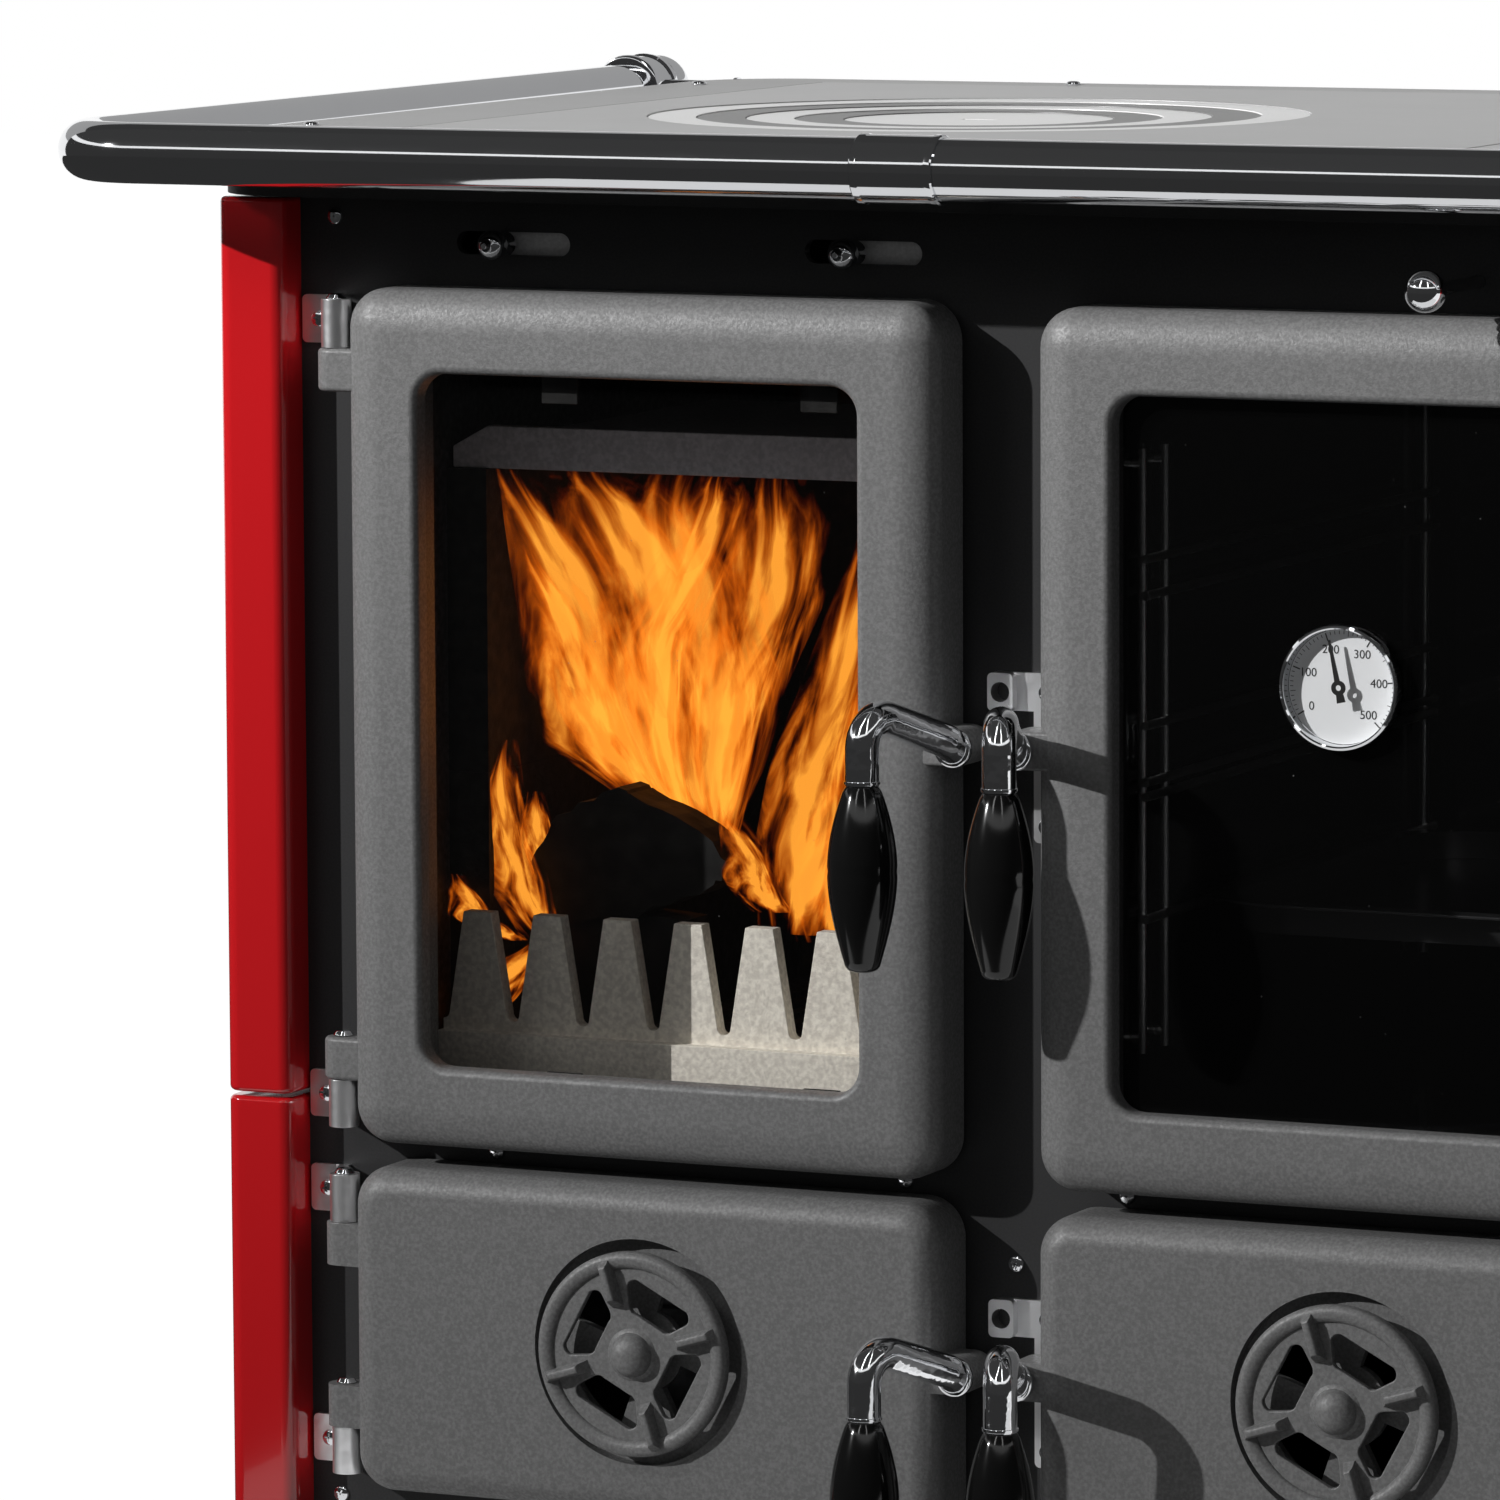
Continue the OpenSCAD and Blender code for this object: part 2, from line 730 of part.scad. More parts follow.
// Pan whose rim lies on the lowest pair of guide wires
module baking_tray() {
    inset = stand + wire_d + 1;
    x = [oven_x0 + inset, oven_x1 - inset];
    pan_x = [x[0] + tray_rim, x[1] - tray_rim];
    pan_y = [tray_y[0] + tray_rim, tray_y[1] - tray_rim];
    rim_z = rung_z[0] + seat;
    pan_z = rim_z + tray_t - tray_h;
    color([0.13, 0.13, 0.14]) at_home() difference() {
        union() {
            round_plate(x, tray_y, [rim_z, rim_z + tray_t], tray_corner);
            round_plate(pan_x, pan_y, [pan_z, rim_z + tray_t], tray_corner - tray_rim);
        }
        round_plate([pan_x[0] + tray_t, pan_x[1] - tray_t], [pan_y[0] + tray_t, pan_y[1] - tray_t],
            [pan_z + tray_t, rim_z + tray_t + 1], tray_corner - tray_rim - tray_t);
    }
}

module flue_collar() {
    color(iron) at_home() difference() {
        union() {
            bar_y(flue_x, flue_z, [body_d, body_d + 6], flue_flange_d);
            bar_y(flue_x, flue_z, [body_d, body_d + flue_len], flue_d);
        }
        bar_y(flue_x, flue_z, [body_d - 1, body_d + flue_len + 1], flue_hole_d);
    }
}

// ---------- hob ----------

main_x0 = -hob_x + band_x;
side_x1 = hob_x - band_x;
side_x0 = side_x1 - side_plate_w;
main_x1 = side_x0 - 2;
plates_y0 = hob_y0 + band_y;
plates_y1 = hob_y1 - band_y;
ledge = 14;
plate_gap = 0.4;
bar_half = 12;
module hob_frame() {
    color(hob_grey) at_home() difference() {
        round_plate([-hob_x, hob_x], [hob_y0, hob_y1], [rim_z0, hob_top], hob_corner);
        round_plate([-hob_x + rim_t, hob_x - rim_t], [hob_y0 + rim_t, hob_y1 - rim_t], [rim_z0 - 1, frame_top], hob_corner - rim_t);
        block([main_x0 - plate_gap, side_x1 + plate_gap], [plates_y0 - plate_gap, plates_y1 + plate_gap], [plate_z0, hob_top + 1]);
        block([main_x0 + ledge, main_x1 - bar_half], [plates_y0 + ledge, plates_y1 - ledge], [frame_top - 1, plate_z0 + 1]);
        block([side_x0 + bar_half, side_x1 - ledge], [plates_y0 + ledge, plates_y1 - ledge], [frame_top - 1, plate_z0 + 1]);
        for (s = hob_screws)
            translate([s[0], s[1], hob_top - hob_screw_len - 1]) cylinder(d = screw_hole_d, h = hob_screw_len + 2);
    }
}

// Outer radius of ring k; ring 1 is the widest, ring 5 is the centre plug
function ring_r(k) = plug_r + (5 - k) * ring_w;
ledge_t = plate_t / 2;
ring_air = 0.3;

module main_plate() {
    r = ring_r(1);
    color(hob_grey) at_home() difference() {
        block([main_x0, main_x1], [plates_y0, plates_y1], [plate_z0, hob_top]);
        translate([ring_x, ring_y, plate_z0 + ledge_t]) cylinder(r = r, h = plate_t);
        translate([ring_x, ring_y, plate_z0 - 1]) cylinder(r = r - ledge_w, h = plate_t);
    }
}

// One ring: a top lip on the ledge outside it, and a ledge for the ring inside it
module ring(k) {
    drop = ring_step * k;
    r1 = ring_r(k) - ring_air;
    r0 = ring_r(k + 1);
    translate([ring_x, ring_y, 0]) rotate_extrude() polygon([
        [r0 - ledge_w, plate_z0 - drop], [r1 - ledge_w - ring_air, plate_z0 - drop],
        [r1 - ledge_w - ring_air, plate_z0 + ledge_t - ring_step * (k - 1)],
        [r1, plate_z0 + ledge_t - ring_step * (k - 1)],
        [r1, hob_top - drop], [r0, hob_top - drop],
        [r0, plate_z0 + ledge_t - drop], [r0 - ledge_w, plate_z0 + ledge_t - drop]]);
}

module ring_1() {
    color(hob_grey) at_home() ring(1);
}

module ring_2() {
    color(iron) at_home() ring(2);
}

module ring_3() {
    color(hob_grey) at_home() ring(3);
}

module ring_4() {
    color(iron) at_home() ring(4);
}

module centre_plug() {
    drop = ring_step * 5;
    r = plug_r - ring_air;
    low_z = plate_z0 + ledge_t - ring_step * 4;
    slot = [20, 6];
    color(hob_grey) at_home() difference() {
        translate([ring_x, ring_y, 0]) union() {
            translate([0, 0, low_z]) cylinder(r = r, h = hob_top - drop - low_z);
            translate([0, 0, plate_z0 - drop]) cylinder(r = r - ledge_w - ring_air, h = plate_t / 2);
        }
        // Slot for the lifting hook
        translate([ring_x - slot[0] / 2, ring_y - slot[1] / 2, plate_z0 - drop + 4]) cube([slot[0], slot[1], plate_t]);
    }
}

module side_plate() {
    color(hob_grey) at_home() block([side_x0, side_x1], [plates_y0, plates_y1], [plate_z0, hob_top]);
}

// ---------- towel rail ----------

module rail_path(d) {
    straight_x = rail_x - rail_bend;
    bar_x(rail_y, rail_z, [-straight_x, straight_x], d);
    both_sides() {
        bar_y(rail_x, rail_z, [rail_y + rail_bend, collar_y1], d);
        translate([straight_x, rail_y + rail_bend, rail_z]) rotate([0, 0, -90])
            rotate_extrude(angle = 90) translate([rail_bend, 0]) circle(d = d, $fn = 48);
    }
}

module towel_rail() {
    color(bright) at_home() difference() {
        rail_path(rail_d);
        rail_path(rail_d - 2 * rail_wall);
    }
}

module rail_fittings() {
    sleeve_d = rail_d + 2 * sleeve_wall;
    sleeve = [sleeve_x - sleeve_len / 2, sleeve_x + sleeve_len / 2];
    bore = rail_d + 2 * running;
    collar_mid = (collar_y0 + collar_y1) / 2;
    // Where the post meets the hob's round corner
    corner_y = max(0, collar_mid - (hob_y1 - hob_corner));
    post_x = hob_x - hob_corner + sqrt(hob_corner * hob_corner - corner_y * corner_y) - 3;
    color(bright) at_home() {
        difference() {
            union() {
                bar_x(rail_y, rail_z, sleeve, sleeve_d);
                bar_y(sleeve_x, rail_z, [rail_y + rail_r, hob_y0], post_d);
                bar_y(sleeve_x, rail_z, [hob_y0 - 4, hob_y0], post_d + 10);
            }
            bar_x(rail_y, rail_z, [sleeve[0] - 1, sleeve[1] + 1], bore);
        }
        both_sides() {
            difference() {
                union() {
                    bar_y(rail_x, rail_z, [collar_y0, collar_y1], 2 * collar_r);
                    bar_x(collar_mid, rail_z, [post_x, rail_x - rail_r], post_d);
                }
                bar_y(rail_x, rail_z, [collar_y0 - 1, collar_y1 + 1], bore);
                // The post ends on the hob's rim
                translate([hob_x - hob_corner, hob_y1 - hob_corner, rim_z0]) cylinder(r = hob_corner, h = rim_h);
            }
            // Domed cap, its plug inside the tube's end
            bar_y(rail_x, rail_z, [collar_y1 - cap_plug, collar_y1], rail_d - 2 * rail_wall - 2 * seat);
            bar_y(rail_x, rail_z, [collar_y1, collar_y1 + 5], 2 * rail_r - 2);
            bar_y(rail_x, rail_z, [collar_y1 + 5, rail_end - cap_r], 2 * cap_r);
            intersection() {
                translate([rail_x, rail_end - cap_r, rail_z]) sphere(r = cap_r);
                bar_y(rail_x, rail_z, [rail_end - cap_r - 1, rail_end], 2 * cap_r);
            }
        }
    }
}

// ---------- hinges, keepers and screws ----------

// Lower end of each hinge bracket, from its door's ends
function bracket_levels(z0, z1) = [z0 + bracket_inset, z1 - bracket_inset - bracket_h];
all_brackets = concat(bracket_levels(lower_z0, lower_z1), bracket_levels(upper_z0, upper_z1));
plate_x = [pin_x + 10.5, body_x - 2];
screw_x = pin_x + 24;

module hinge_bracket(z) {
    difference() {
        union() {
            round_block(plate_x, [-bracket_t, 0], [z, z + bracket_h], 3);
            translate([0, 0, z]) linear_extrude(bracket_h) {
                translate([pin_x, -pin_reach]) circle(knuckle_r);
                polygon([[pin_x + 3, -pin_reach - 4], [pin_x + knuckle_r, -pin_reach + 3],
                    [plate_x[0] + 6, -bracket_t], [plate_x[0] + 6, 0], [plate_x[0], 0],
                    [plate_x[0], -bracket_t], [pin_x, -pin_reach + 7]]);
            }
        }
        translate([pin_x, -pin_reach, z - 1]) cylinder(d = pin_d + 2 * running, h = bracket_h + 2);
        bar_y(screw_x, z + bracket_h / 2, [-bracket_t - 1, 1], screw_hole_d);
    }
}

module hinge_brackets() {
    color(bright) at_home() both_sides() for (z = all_brackets) hinge_bracket(z);
}

pin_head_h = 3;
// Ears stand on the lower bracket and hang under the upper one
module hinge_pin(low, head_at_top) {
    z0 = head_at_top ? low : low - ear_h - seat;
    len = bracket_h + ear_h + 2 * seat;
    translate([pin_x, -pin_reach, z0 - (head_at_top ? 0 : seat)]) cylinder(d = pin_d, h = len);
    translate([pin_x, -pin_reach, z0 - (head_at_top ? 0 : seat) + len])
        cylinder(r1 = pin_d / 2 + 2, r2 = pin_d / 2, h = pin_head_h);
}

module hinge_pins() {
    color(bright) at_home() both_sides() {
        for (ends = [[lower_z0, lower_z1], [upper_z0, upper_z1]]) {
            levels = bracket_levels(ends[0], ends[1]);
            hinge_pin(levels[0], true);
            hinge_pin(levels[1], false);
        }
    }
}

keeper_t = 3;
keeper_w = 15;
keeper_top = 38;
keeper_bar = 21;
keeper_drop = 55;
keeper_x1 = door_x0 - 2;
module keeper(mid) {
    bar_z = [mid + keeper_top - keeper_bar, mid + keeper_top];
    socket_x = [keeper_x1 - 40, keeper_x1 - 40 + keeper_w];
    difference() {
        union() {
            round_block([socket_x[0], keeper_x1], [-keeper_t, 0], bar_z, 3);
            round_block([keeper_x1 - keeper_w, keeper_x1], [-keeper_t, 0], [mid - keeper_drop, bar_z[1]], 3);
            round_block(socket_x, [-keeper_t - 6, -keeper_t + 0.5], bar_z, 3);
        }
        bar_y(socket_x[0] + keeper_w / 2, mid + keeper_top - keeper_bar / 2, [-keeper_t - 7, 1], 11);
        for (z = keeper_screws(mid))
            bar_y(keeper_x1 - keeper_w / 2, z, [-keeper_t - 1, 1], screw_hole_d);
    }
}
function keeper_screws(mid) = [mid + keeper_top - keeper_bar / 2, mid - keeper_drop + 9];

module latch_keepers() {
    color(bright) at_home() {
        keeper(upper_mid);
        keeper(lower_mid);
    }
}

hob_screw_h = 2.4;
hob_screw_len = 8;
module hob_screw(x, y) {
    difference() {
        translate([x, y, hob_top]) union() {
            cylinder(r1 = 6, r2 = 4.5, h = hob_screw_h);
            translate([0, 0, -hob_screw_len]) cylinder(d = screw_d, h = hob_screw_len + 1);
        }
        for (turn = [20, 110])
            translate([x, y, hob_top + hob_screw_h]) rotate([0, 0, turn]) cube([7, 1.2, 2], center = true);
    }
}

// Places of the hob's screws, in X and Y
hob_screw_x = hob_x - 22;
hob_screws = [[-hob_screw_x, 60], [hob_screw_x, 60], [-hob_screw_x, 575], [hob_screw_x, 575],
    [-240, hob_y1 - 18], [60, hob_y1 - 18]];

// Places of the front's screws, in X and Z, and the face that each head lies on
frame_spots = [[body_x - 22, rim_z0 - 13], [body_x - 18, lower_z0 - 12],
    [door_mid + 109, lower_z1 + door_gap / 2], [door_x0 + 37, lower_z1 + door_gap / 2]];
front_screws = concat(
    [for (side = [-1, 1], p = frame_spots) [side * p[0], p[1], 0]],
    [for (side = [-1, 1], z = all_brackets) [side * screw_x, z + bracket_h / 2, -bracket_t]],
    [[0, lower_mid + 57, 0]],
    [for (mid = [upper_mid, lower_mid], z = keeper_screws(mid)) [keeper_x1 - keeper_w / 2, z, -keeper_t]]);

module screws() {
    color(bright) at_home() {
        for (s = front_screws) front_screw(s[0], s[1], s[2]);
        for (s = hob_screws) hob_screw(s[0], s[1]);
    }
}

// ---------- air slides and damper ----------

knob_set = -5;
post_slide_d = 7;
module air_slide(slot_x) {
    x = slot_x + knob_set;
    color(bright) at_home() {
        block([x - 9, x + 64], [slide_y, slide_y + slide_t], [slot_z - slide_half, slot_z + slide_half]);
        bar_y(x, slot_z, [-16, slide_y + 1], post_slide_d);
        translate([x, -1, slot_z]) rotate([90, 0, 0]) cylinder(d1 = 14, d2 = 10, h = 5);
        translate([x, -16, slot_z]) sphere(d = air_knob_d);
        translate([x, -16 - air_knob_d / 2 + 1, slot_z]) rotate([90, 0, 0]) cylinder(d1 = 7, d2 = 3, h = 4);
    }
}

module air_slide_left() {
    air_slide(slot_left_x);
}

module air_slide_right() {
    air_slide(slot_right_x);
}

damper_travel = 55;
flap_y = wall_y1 - 8 - damper_travel;
module damper_rod() {
    flap_r = 28;
    color(steel) at_home() {
        bar_y(damper_x, damper_z, [-damper_out + 6, flap_y], damper_rod_d);
        bar_y(damper_x, damper_z, [flap_y, flap_y + 4], 2 * flap_r);
    }
}

module damper_knob() {
    color(bright) at_home() difference() {
        union() {
            translate([damper_x, -damper_out, damper_z]) sphere(d = damper_ball_d);
            bar_y(damper_x, damper_z, [-damper_out, -damper_out + damper_ball_d / 2 + 3], 11);
        }
        bar_y(damper_x, damper_z, [-damper_out + 6, 0], damper_rod_d);
    }
}

// ---------- doors, written for the right-hand side ----------

module door_ears(z0, z1) {
    levels = bracket_levels(z0, z1);
    for (z = [levels[0] + bracket_h + seat, levels[1] - ear_h - seat])
        translate([0, 0, z]) linear_extrude(ear_h) {
            translate([pin_x, -pin_reach]) circle(ear_r);
            translate([door_x1 - door_edge, -pin_reach - ear_r]) square([pin_x - door_x1 + door_edge, 2 * ear_r]);
        }
}

module door_ear_bores(z0, z1) {
    levels = bracket_levels(z0, z1);
    for (z = [levels[0] + bracket_h, levels[1] - ear_h - 1])
        translate([pin_x, -pin_reach, z]) cylinder(d = pin_d + 2 * running, h = ear_h + 1 + seat);
}

lug_y = [-42, -15];
module latch_lug(mid) {
    bar_y(pivot_x, mid, lug_y, 2 * lug_r);
    block([pivot_x, door_x0 + 8], lug_y, [mid - lug_r, mid + lug_r]);
}

// Casting common to every door: slab, hinge ears and the lug for its handle
module door_casting(z0, z1) {
    difference() {
        union() {
            soft_slab([door_x0, door_x1], [door_front, door_back], [z0, z1], door_corner, door_edge);
            door_ears(z0, z1);
            latch_lug((z0 + z1) / 2);
            children(0);
        }
        door_ear_bores(z0, z1);
        bar_y(pivot_x, (z0 + z1) / 2, [lug_y[0] - 1, lug_y[1] + 1], shaft_d + 2 * running);
        children(1);
    }
}

window_x = [door_x0 + window_border, door_x1 - window_border];
window_z = [upper_z0 + window_border, upper_z1 - window_border];
module window_cut() {
    lap = glass_lap + seat;
    round_block(window_x, [door_front - 1, door_back + 1], window_z, window_corner);
    round_block([window_x[0] - lap, window_x[1] + lap], [glass_y0 - seat, door_back + 1],
        [window_z[0] - lap, window_z[1] + lap], window_corner);
}

module glazed_door() {
    door_casting(upper_z0, upper_z1) {
        union() {}
        window_cut();
    }
}

module door_glass() {
    round_block([window_x[0] - glass_lap, window_x[1] + glass_lap], [glass_y0, glass_y1],
        [window_z[0] - glass_lap, window_z[1] + glass_lap], window_corner - 1);
}

module firebox_door() {
    color(iron) at_home() on_left() glazed_door();
}

module firebox_glass() {
    color(smoked) at_home() on_left() door_glass();
}

clip_w = 22;
clip_len = 26;
clip_t = 2;
module firebox_clips() {
    wall_z = window_z[1] + glass_lap + seat;
    floor_z = window_z[0] - glass_lap - seat;
    color(steel) at_home() on_left() for (x = [window_x[0] + 18, window_x[1] - 92]) {
        block([x, x + clip_w], [glass_y1, glass_y1 + clip_t], [wall_z - clip_len, wall_z]);
        bar_y(x + clip_w / 2, wall_z - clip_len + 7, [glass_y1 + clip_t, glass_y1 + clip_t + 4], 8);
        block([x, x + clip_w], [glass_y1, glass_y1 + clip_t], [floor_z, floor_z + glass_lap]);
    }
}

// Rope seal on the back of the firebox door
rope_w = 8;
module firebox_seal() {
    margin = 4;
    x = [open_x0 - margin - rope_w, open_x1 + margin + rope_w];
    z = [upper_open_z0 - margin - rope_w, upper_open_z1 + margin + rope_w];
    color([0.7, 0.69, 0.66]) at_home() on_left() difference() {
        round_block(x, [door_back, -seat], z, 16);
        round_block([x[0] + rope_w, x[1] - rope_w], [door_back - 1, 0], [z[0] + rope_w, z[1] - rope_w], 16 - rope_w);
    }
}

module oven_door() {
    color(iron) at_home() glazed_door();
}

thermo_x = door_mid - thermo_left;
thermo_z = upper_mid + thermo_rise;
thermo_t = 9;
stem_d = 11;
module oven_glass() {
    color(smoked) at_home() difference() {
        door_glass();
        bar_y(thermo_x, thermo_z, [glass_y0 - 1, glass_y1 + 1], stem_d);
    }
}

dial_y = glass_y0 - thermo_t + 3;
module thermometer() {
    bezel = 3;
    color(bright) at_home() {
        difference() {
            bar_y(thermo_x, thermo_z, [glass_y0 - thermo_t, glass_y0], thermo_d);
            bar_y(thermo_x, thermo_z, [glass_y0 - thermo_t - 1, dial_y], thermo_d - 2 * bezel);
        }
        bar_y(thermo_x, thermo_z, [glass_y0 - 1, glass_y1 + 24], stem_d - 2 * running);
        bar_y(thermo_x, thermo_z, [glass_y1, glass_y1 + 4], 20);
        bar_y(thermo_x, thermo_z, [dial_y - 2, dial_y], 3);
    }
}

needle_len = 26;
needle_rest = 12;
module thermometer_needle() {
    color(black) at_home() translate([thermo_x, dial_y - 1.7, thermo_z]) rotate([0, -needle_rest, 0]) difference() {
        union() {
            translate([0, 0.6, 0]) rotate([90, 0, 0]) linear_extrude(0.8)
                polygon([[-2.4, -8], [2.4, -8], [1.6, 0], [0.6, needle_len], [-0.6, needle_len], [-1.6, 0]]);
            translate([0, 0.6, 0]) rotate([90, 0, 0]) cylinder(d = 8, h = 0.8);
        }
        translate([0, 3, 0]) rotate([90, 0, 0]) cylinder(d = 3 + 2 * running, h = 6);
    }
}

// Lower doors: a round recess with air holes, hollow at the back
recess_floor = door_front + recess_depth;
recess_d = disc_d + 2 * recess_gap;
web_t = 6;
pivot_pin_d = 8;
hub_r = 14;
module register_holes(y, r0, r1, turn) {
    translate([door_mid, y[1], lower_mid]) rotate([90, 0, 0]) linear_extrude(y[1] - y[0])
        for (k = [0 : air_holes - 1]) ring_sector(r0, r1, turn + k * 360 / air_holes, hole_angle);
}

hole_r0 = disc_d * 0.2;
hole_r1 = disc_d * 0.4;
module vented_door(door_turn) {
    rim = 14;
    difference() {
        door_casting(lower_z0, lower_z1) {
            union() {}
            union() {
                bar_y(door_mid, lower_mid, [door_front - 1, recess_floor], recess_d);
                block([door_x0 + rim, door_x1 - rim], [recess_floor + web_t, door_back + 1], [lower_z0 + rim, lower_z1 - rim]);
            }
        }
        register_holes([recess_floor - 1, recess_floor + web_t + 1], hole_r0, hole_r1, door_turn);
        bar_y(door_mid, lower_mid, [recess_floor - 1, recess_floor + web_t + 1], pivot_pin_d + 2 * running);
    }
}

disc_back = recess_floor - seat;
disc_t = 4.5;
rim_w = 7;
fin_w = 7;
module register_disc(turn) {
    front = disc_back - disc_t;
    fin_front = door_front - 2;
    difference() {
        union() {
            bar_y(door_mid, lower_mid, [front, disc_back], disc_d);
            difference() {
                bar_y(door_mid, lower_mid, [door_front + 1, disc_back], disc_d);
                bar_y(door_mid, lower_mid, [door_front, disc_back + 1], disc_d - 2 * rim_w);
            }
            for (k = [0 : air_holes - 1])
                translate([door_mid, 0, lower_mid]) rotate([0, -(turn + (k + 0.5) * 360 / air_holes), 0])
                    block([hub_r - 2, disc_d / 2 - 3], [fin_front, front + 1], [-fin_w / 2, fin_w / 2]);
            bar_y(door_mid, lower_mid, [front - 4, front + 1], 2 * hub_r);
            translate([door_mid, front - 4, lower_mid]) scale(0.5) sphere(r = 2 * hub_r);
        }
        register_holes([front - 1, disc_back + 1], hole_r0, hole_r1, turn);
        // The hub's dome stays in front of the disc
        bar_y(door_mid, lower_mid, [disc_back, disc_back + 30], disc_d);
    }
    bar_y(door_mid, lower_mid, [disc_back - 1, recess_floor + web_t + seat + 5], pivot_pin_d);
    bar_y(door_mid, lower_mid, [recess_floor + web_t + seat, recess_floor + web_t + seat + 4], 18);
}

module ash_door() {
    color(iron) at_home() on_left() vented_door(180 - disc_turn + disc_rest);
}

module ash_register() {
    color(iron) at_home() on_left() register_disc(180 - disc_turn);
}

module store_door() {
    color(iron) at_home() vented_door(disc_turn - disc_rest);
}

module store_register() {
    color(iron) at_home() register_disc(disc_turn);
}

// ---------- handles, written for the right-hand side ----------

collar_t = 4;
arm_root_y = lug_y[0] - seat - collar_t;
tongue_y = [lug_y[1] + seat, lug_y[1] + seat + 5];
bend_swell = 0.8;
module lever(mid) {
    elbow = [pivot_x + arm_side, -arm_reach, mid + arm_rise];
    root = [pivot_x, lug_y[0] - seat - (arm_d + bend_swell) / 2, mid];
    color(bright) at_home() {
        bar_y(pivot_x, mid, [arm_root_y, tongue_y[1]], shaft_d);
        bar_y(pivot_x, mid, [arm_root_y, lug_y[0] - seat], 2 * lug_r);
        translate(root) sphere(d = arm_d + bend_swell);
        bar(root, elbow, arm_d);
        translate(elbow) sphere(d = arm_d + bend_swell);
        translate([elbow[0], elbow[1], elbow[2] - neck_h]) cylinder(d = arm_d, h = neck_h);
        // Tongue behind the lug
        block([pivot_x - 13, pivot_x + shaft_d / 2], tongue_y, [mid - 6, mid + 6]);
    }
}

function grip_r(t) = grip_d / 2 * (0.5 + 0.5 * sin(180 * pow(t, 0.92)));
module grip(mid) {
    steps = 18;
    top = mid + arm_rise - neck_h;
    color(black) at_home() translate([pivot_x + arm_side, -arm_reach, top]) rotate_extrude()
        polygon(concat([[0, 0]], [for (k = [0 : steps]) [grip_r(k / steps), -grip_h * k / steps]], [[0, -grip_h]]));
}

module oven_lever() {
    lever(upper_mid);
}

module oven_grip() {
    grip(upper_mid);
}

module store_lever() {
    lever(lower_mid);
}

module store_grip() {
    grip(lower_mid);
}

module firebox_lever() {
    on_left() lever(upper_mid);
}

module firebox_grip() {
    on_left() grip(upper_mid);
}

module ash_lever() {
    on_left() lever(lower_mid);
}

module ash_grip() {
    on_left() grip(lower_mid);
}

// ---------- ash drawer ----------

drawer_wall = 1.5;
drawer_side = 10;
module ash_drawer() {
    x = [open_x0 + drawer_side, open_x1 - drawer_side];
    y = [12, grate_y1 + 20];
    z = [lower_deck_z + deck_t + seat, lower_open_z1 - 34];
    mid_x = (x[0] + x[1]) / 2;
    color(steel) at_home() on_left() {
        difference() {
            block(x, y, z);
            block([x[0] + drawer_wall, x[1] - drawer_wall], [y[0] + drawer_wall, y[1] - drawer_wall],
                [z[0] + drawer_wall, z[1] + 1]);
        }
        // Folded pull on the front wall
        block([mid_x - 40, mid_x + 40], [y[0] - 9, y[0]], [z[1] - 32, z[1] - 30]);
        block([mid_x - 40, mid_x + 40], [y[0] - 9, y[0] - 7], [z[1] - 42, z[1] - 32]);
    }
}

// ---------- nodes ----------

levelling_feet();
plinth();
base_panel();
side_walls();
back_panel();
decks();
middle_wall();
front_frame();
cladding_left_upper();
cladding_left_lower();
cladding_right_upper();
cladding_right_lower();
firebox_shell();
fire_bricks();
fire_grate();
fire_fence();
baffle_plate();
oven_liner();
rack_guides();
baking_tray();
flue_collar();
hob_frame();
main_plate();
ring_1();
ring_2();
ring_3();
ring_4();
centre_plug();
side_plate();
towel_rail();
rail_fittings();
hinge_brackets();
hinge_pins();
latch_keepers();
screws();
air_slide_left();
air_slide_right();
damper_rod();
damper_knob();
firebox_door();
firebox_glass();
firebox_clips();
firebox_seal();
firebox_lever();
firebox_grip();
oven_door();
oven_glass();
thermometer();
thermometer_needle();
oven_lever();
oven_grip();
ash_door();
ash_register();
ash_lever();
ash_grip();
store_door();
store_register();
store_lever();
store_grip();
ash_drawer();
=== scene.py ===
"""The looks of a cast iron range cooker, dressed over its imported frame."""

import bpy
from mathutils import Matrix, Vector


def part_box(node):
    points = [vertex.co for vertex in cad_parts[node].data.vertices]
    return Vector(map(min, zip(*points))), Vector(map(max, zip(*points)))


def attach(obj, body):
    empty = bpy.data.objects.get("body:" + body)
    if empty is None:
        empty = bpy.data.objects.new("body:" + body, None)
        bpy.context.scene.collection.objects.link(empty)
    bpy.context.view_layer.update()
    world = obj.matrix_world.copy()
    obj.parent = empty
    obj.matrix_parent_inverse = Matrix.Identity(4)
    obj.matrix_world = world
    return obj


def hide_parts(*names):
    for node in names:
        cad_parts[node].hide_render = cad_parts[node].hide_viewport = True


bl_info = {
    "name": "Cast Iron Range Cooker",
    "version": (1, 0, 0),
    "blender": (4, 5, 0),
    "location": "3D View > Sidebar > Range Cooker",
    "description": "Doors, handles, hob, rail, fire and finishes of a wood-fired range cooker",
    "category": "Object",
}

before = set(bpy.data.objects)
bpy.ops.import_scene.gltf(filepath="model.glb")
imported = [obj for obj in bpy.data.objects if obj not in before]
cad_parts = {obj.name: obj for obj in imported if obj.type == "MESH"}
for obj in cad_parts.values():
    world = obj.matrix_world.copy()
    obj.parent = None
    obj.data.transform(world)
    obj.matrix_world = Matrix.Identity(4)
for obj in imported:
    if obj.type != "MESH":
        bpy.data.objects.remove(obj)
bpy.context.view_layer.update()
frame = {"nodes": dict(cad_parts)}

import math
import random

import bmesh
import bpy
from mathutils import Matrix, Vector

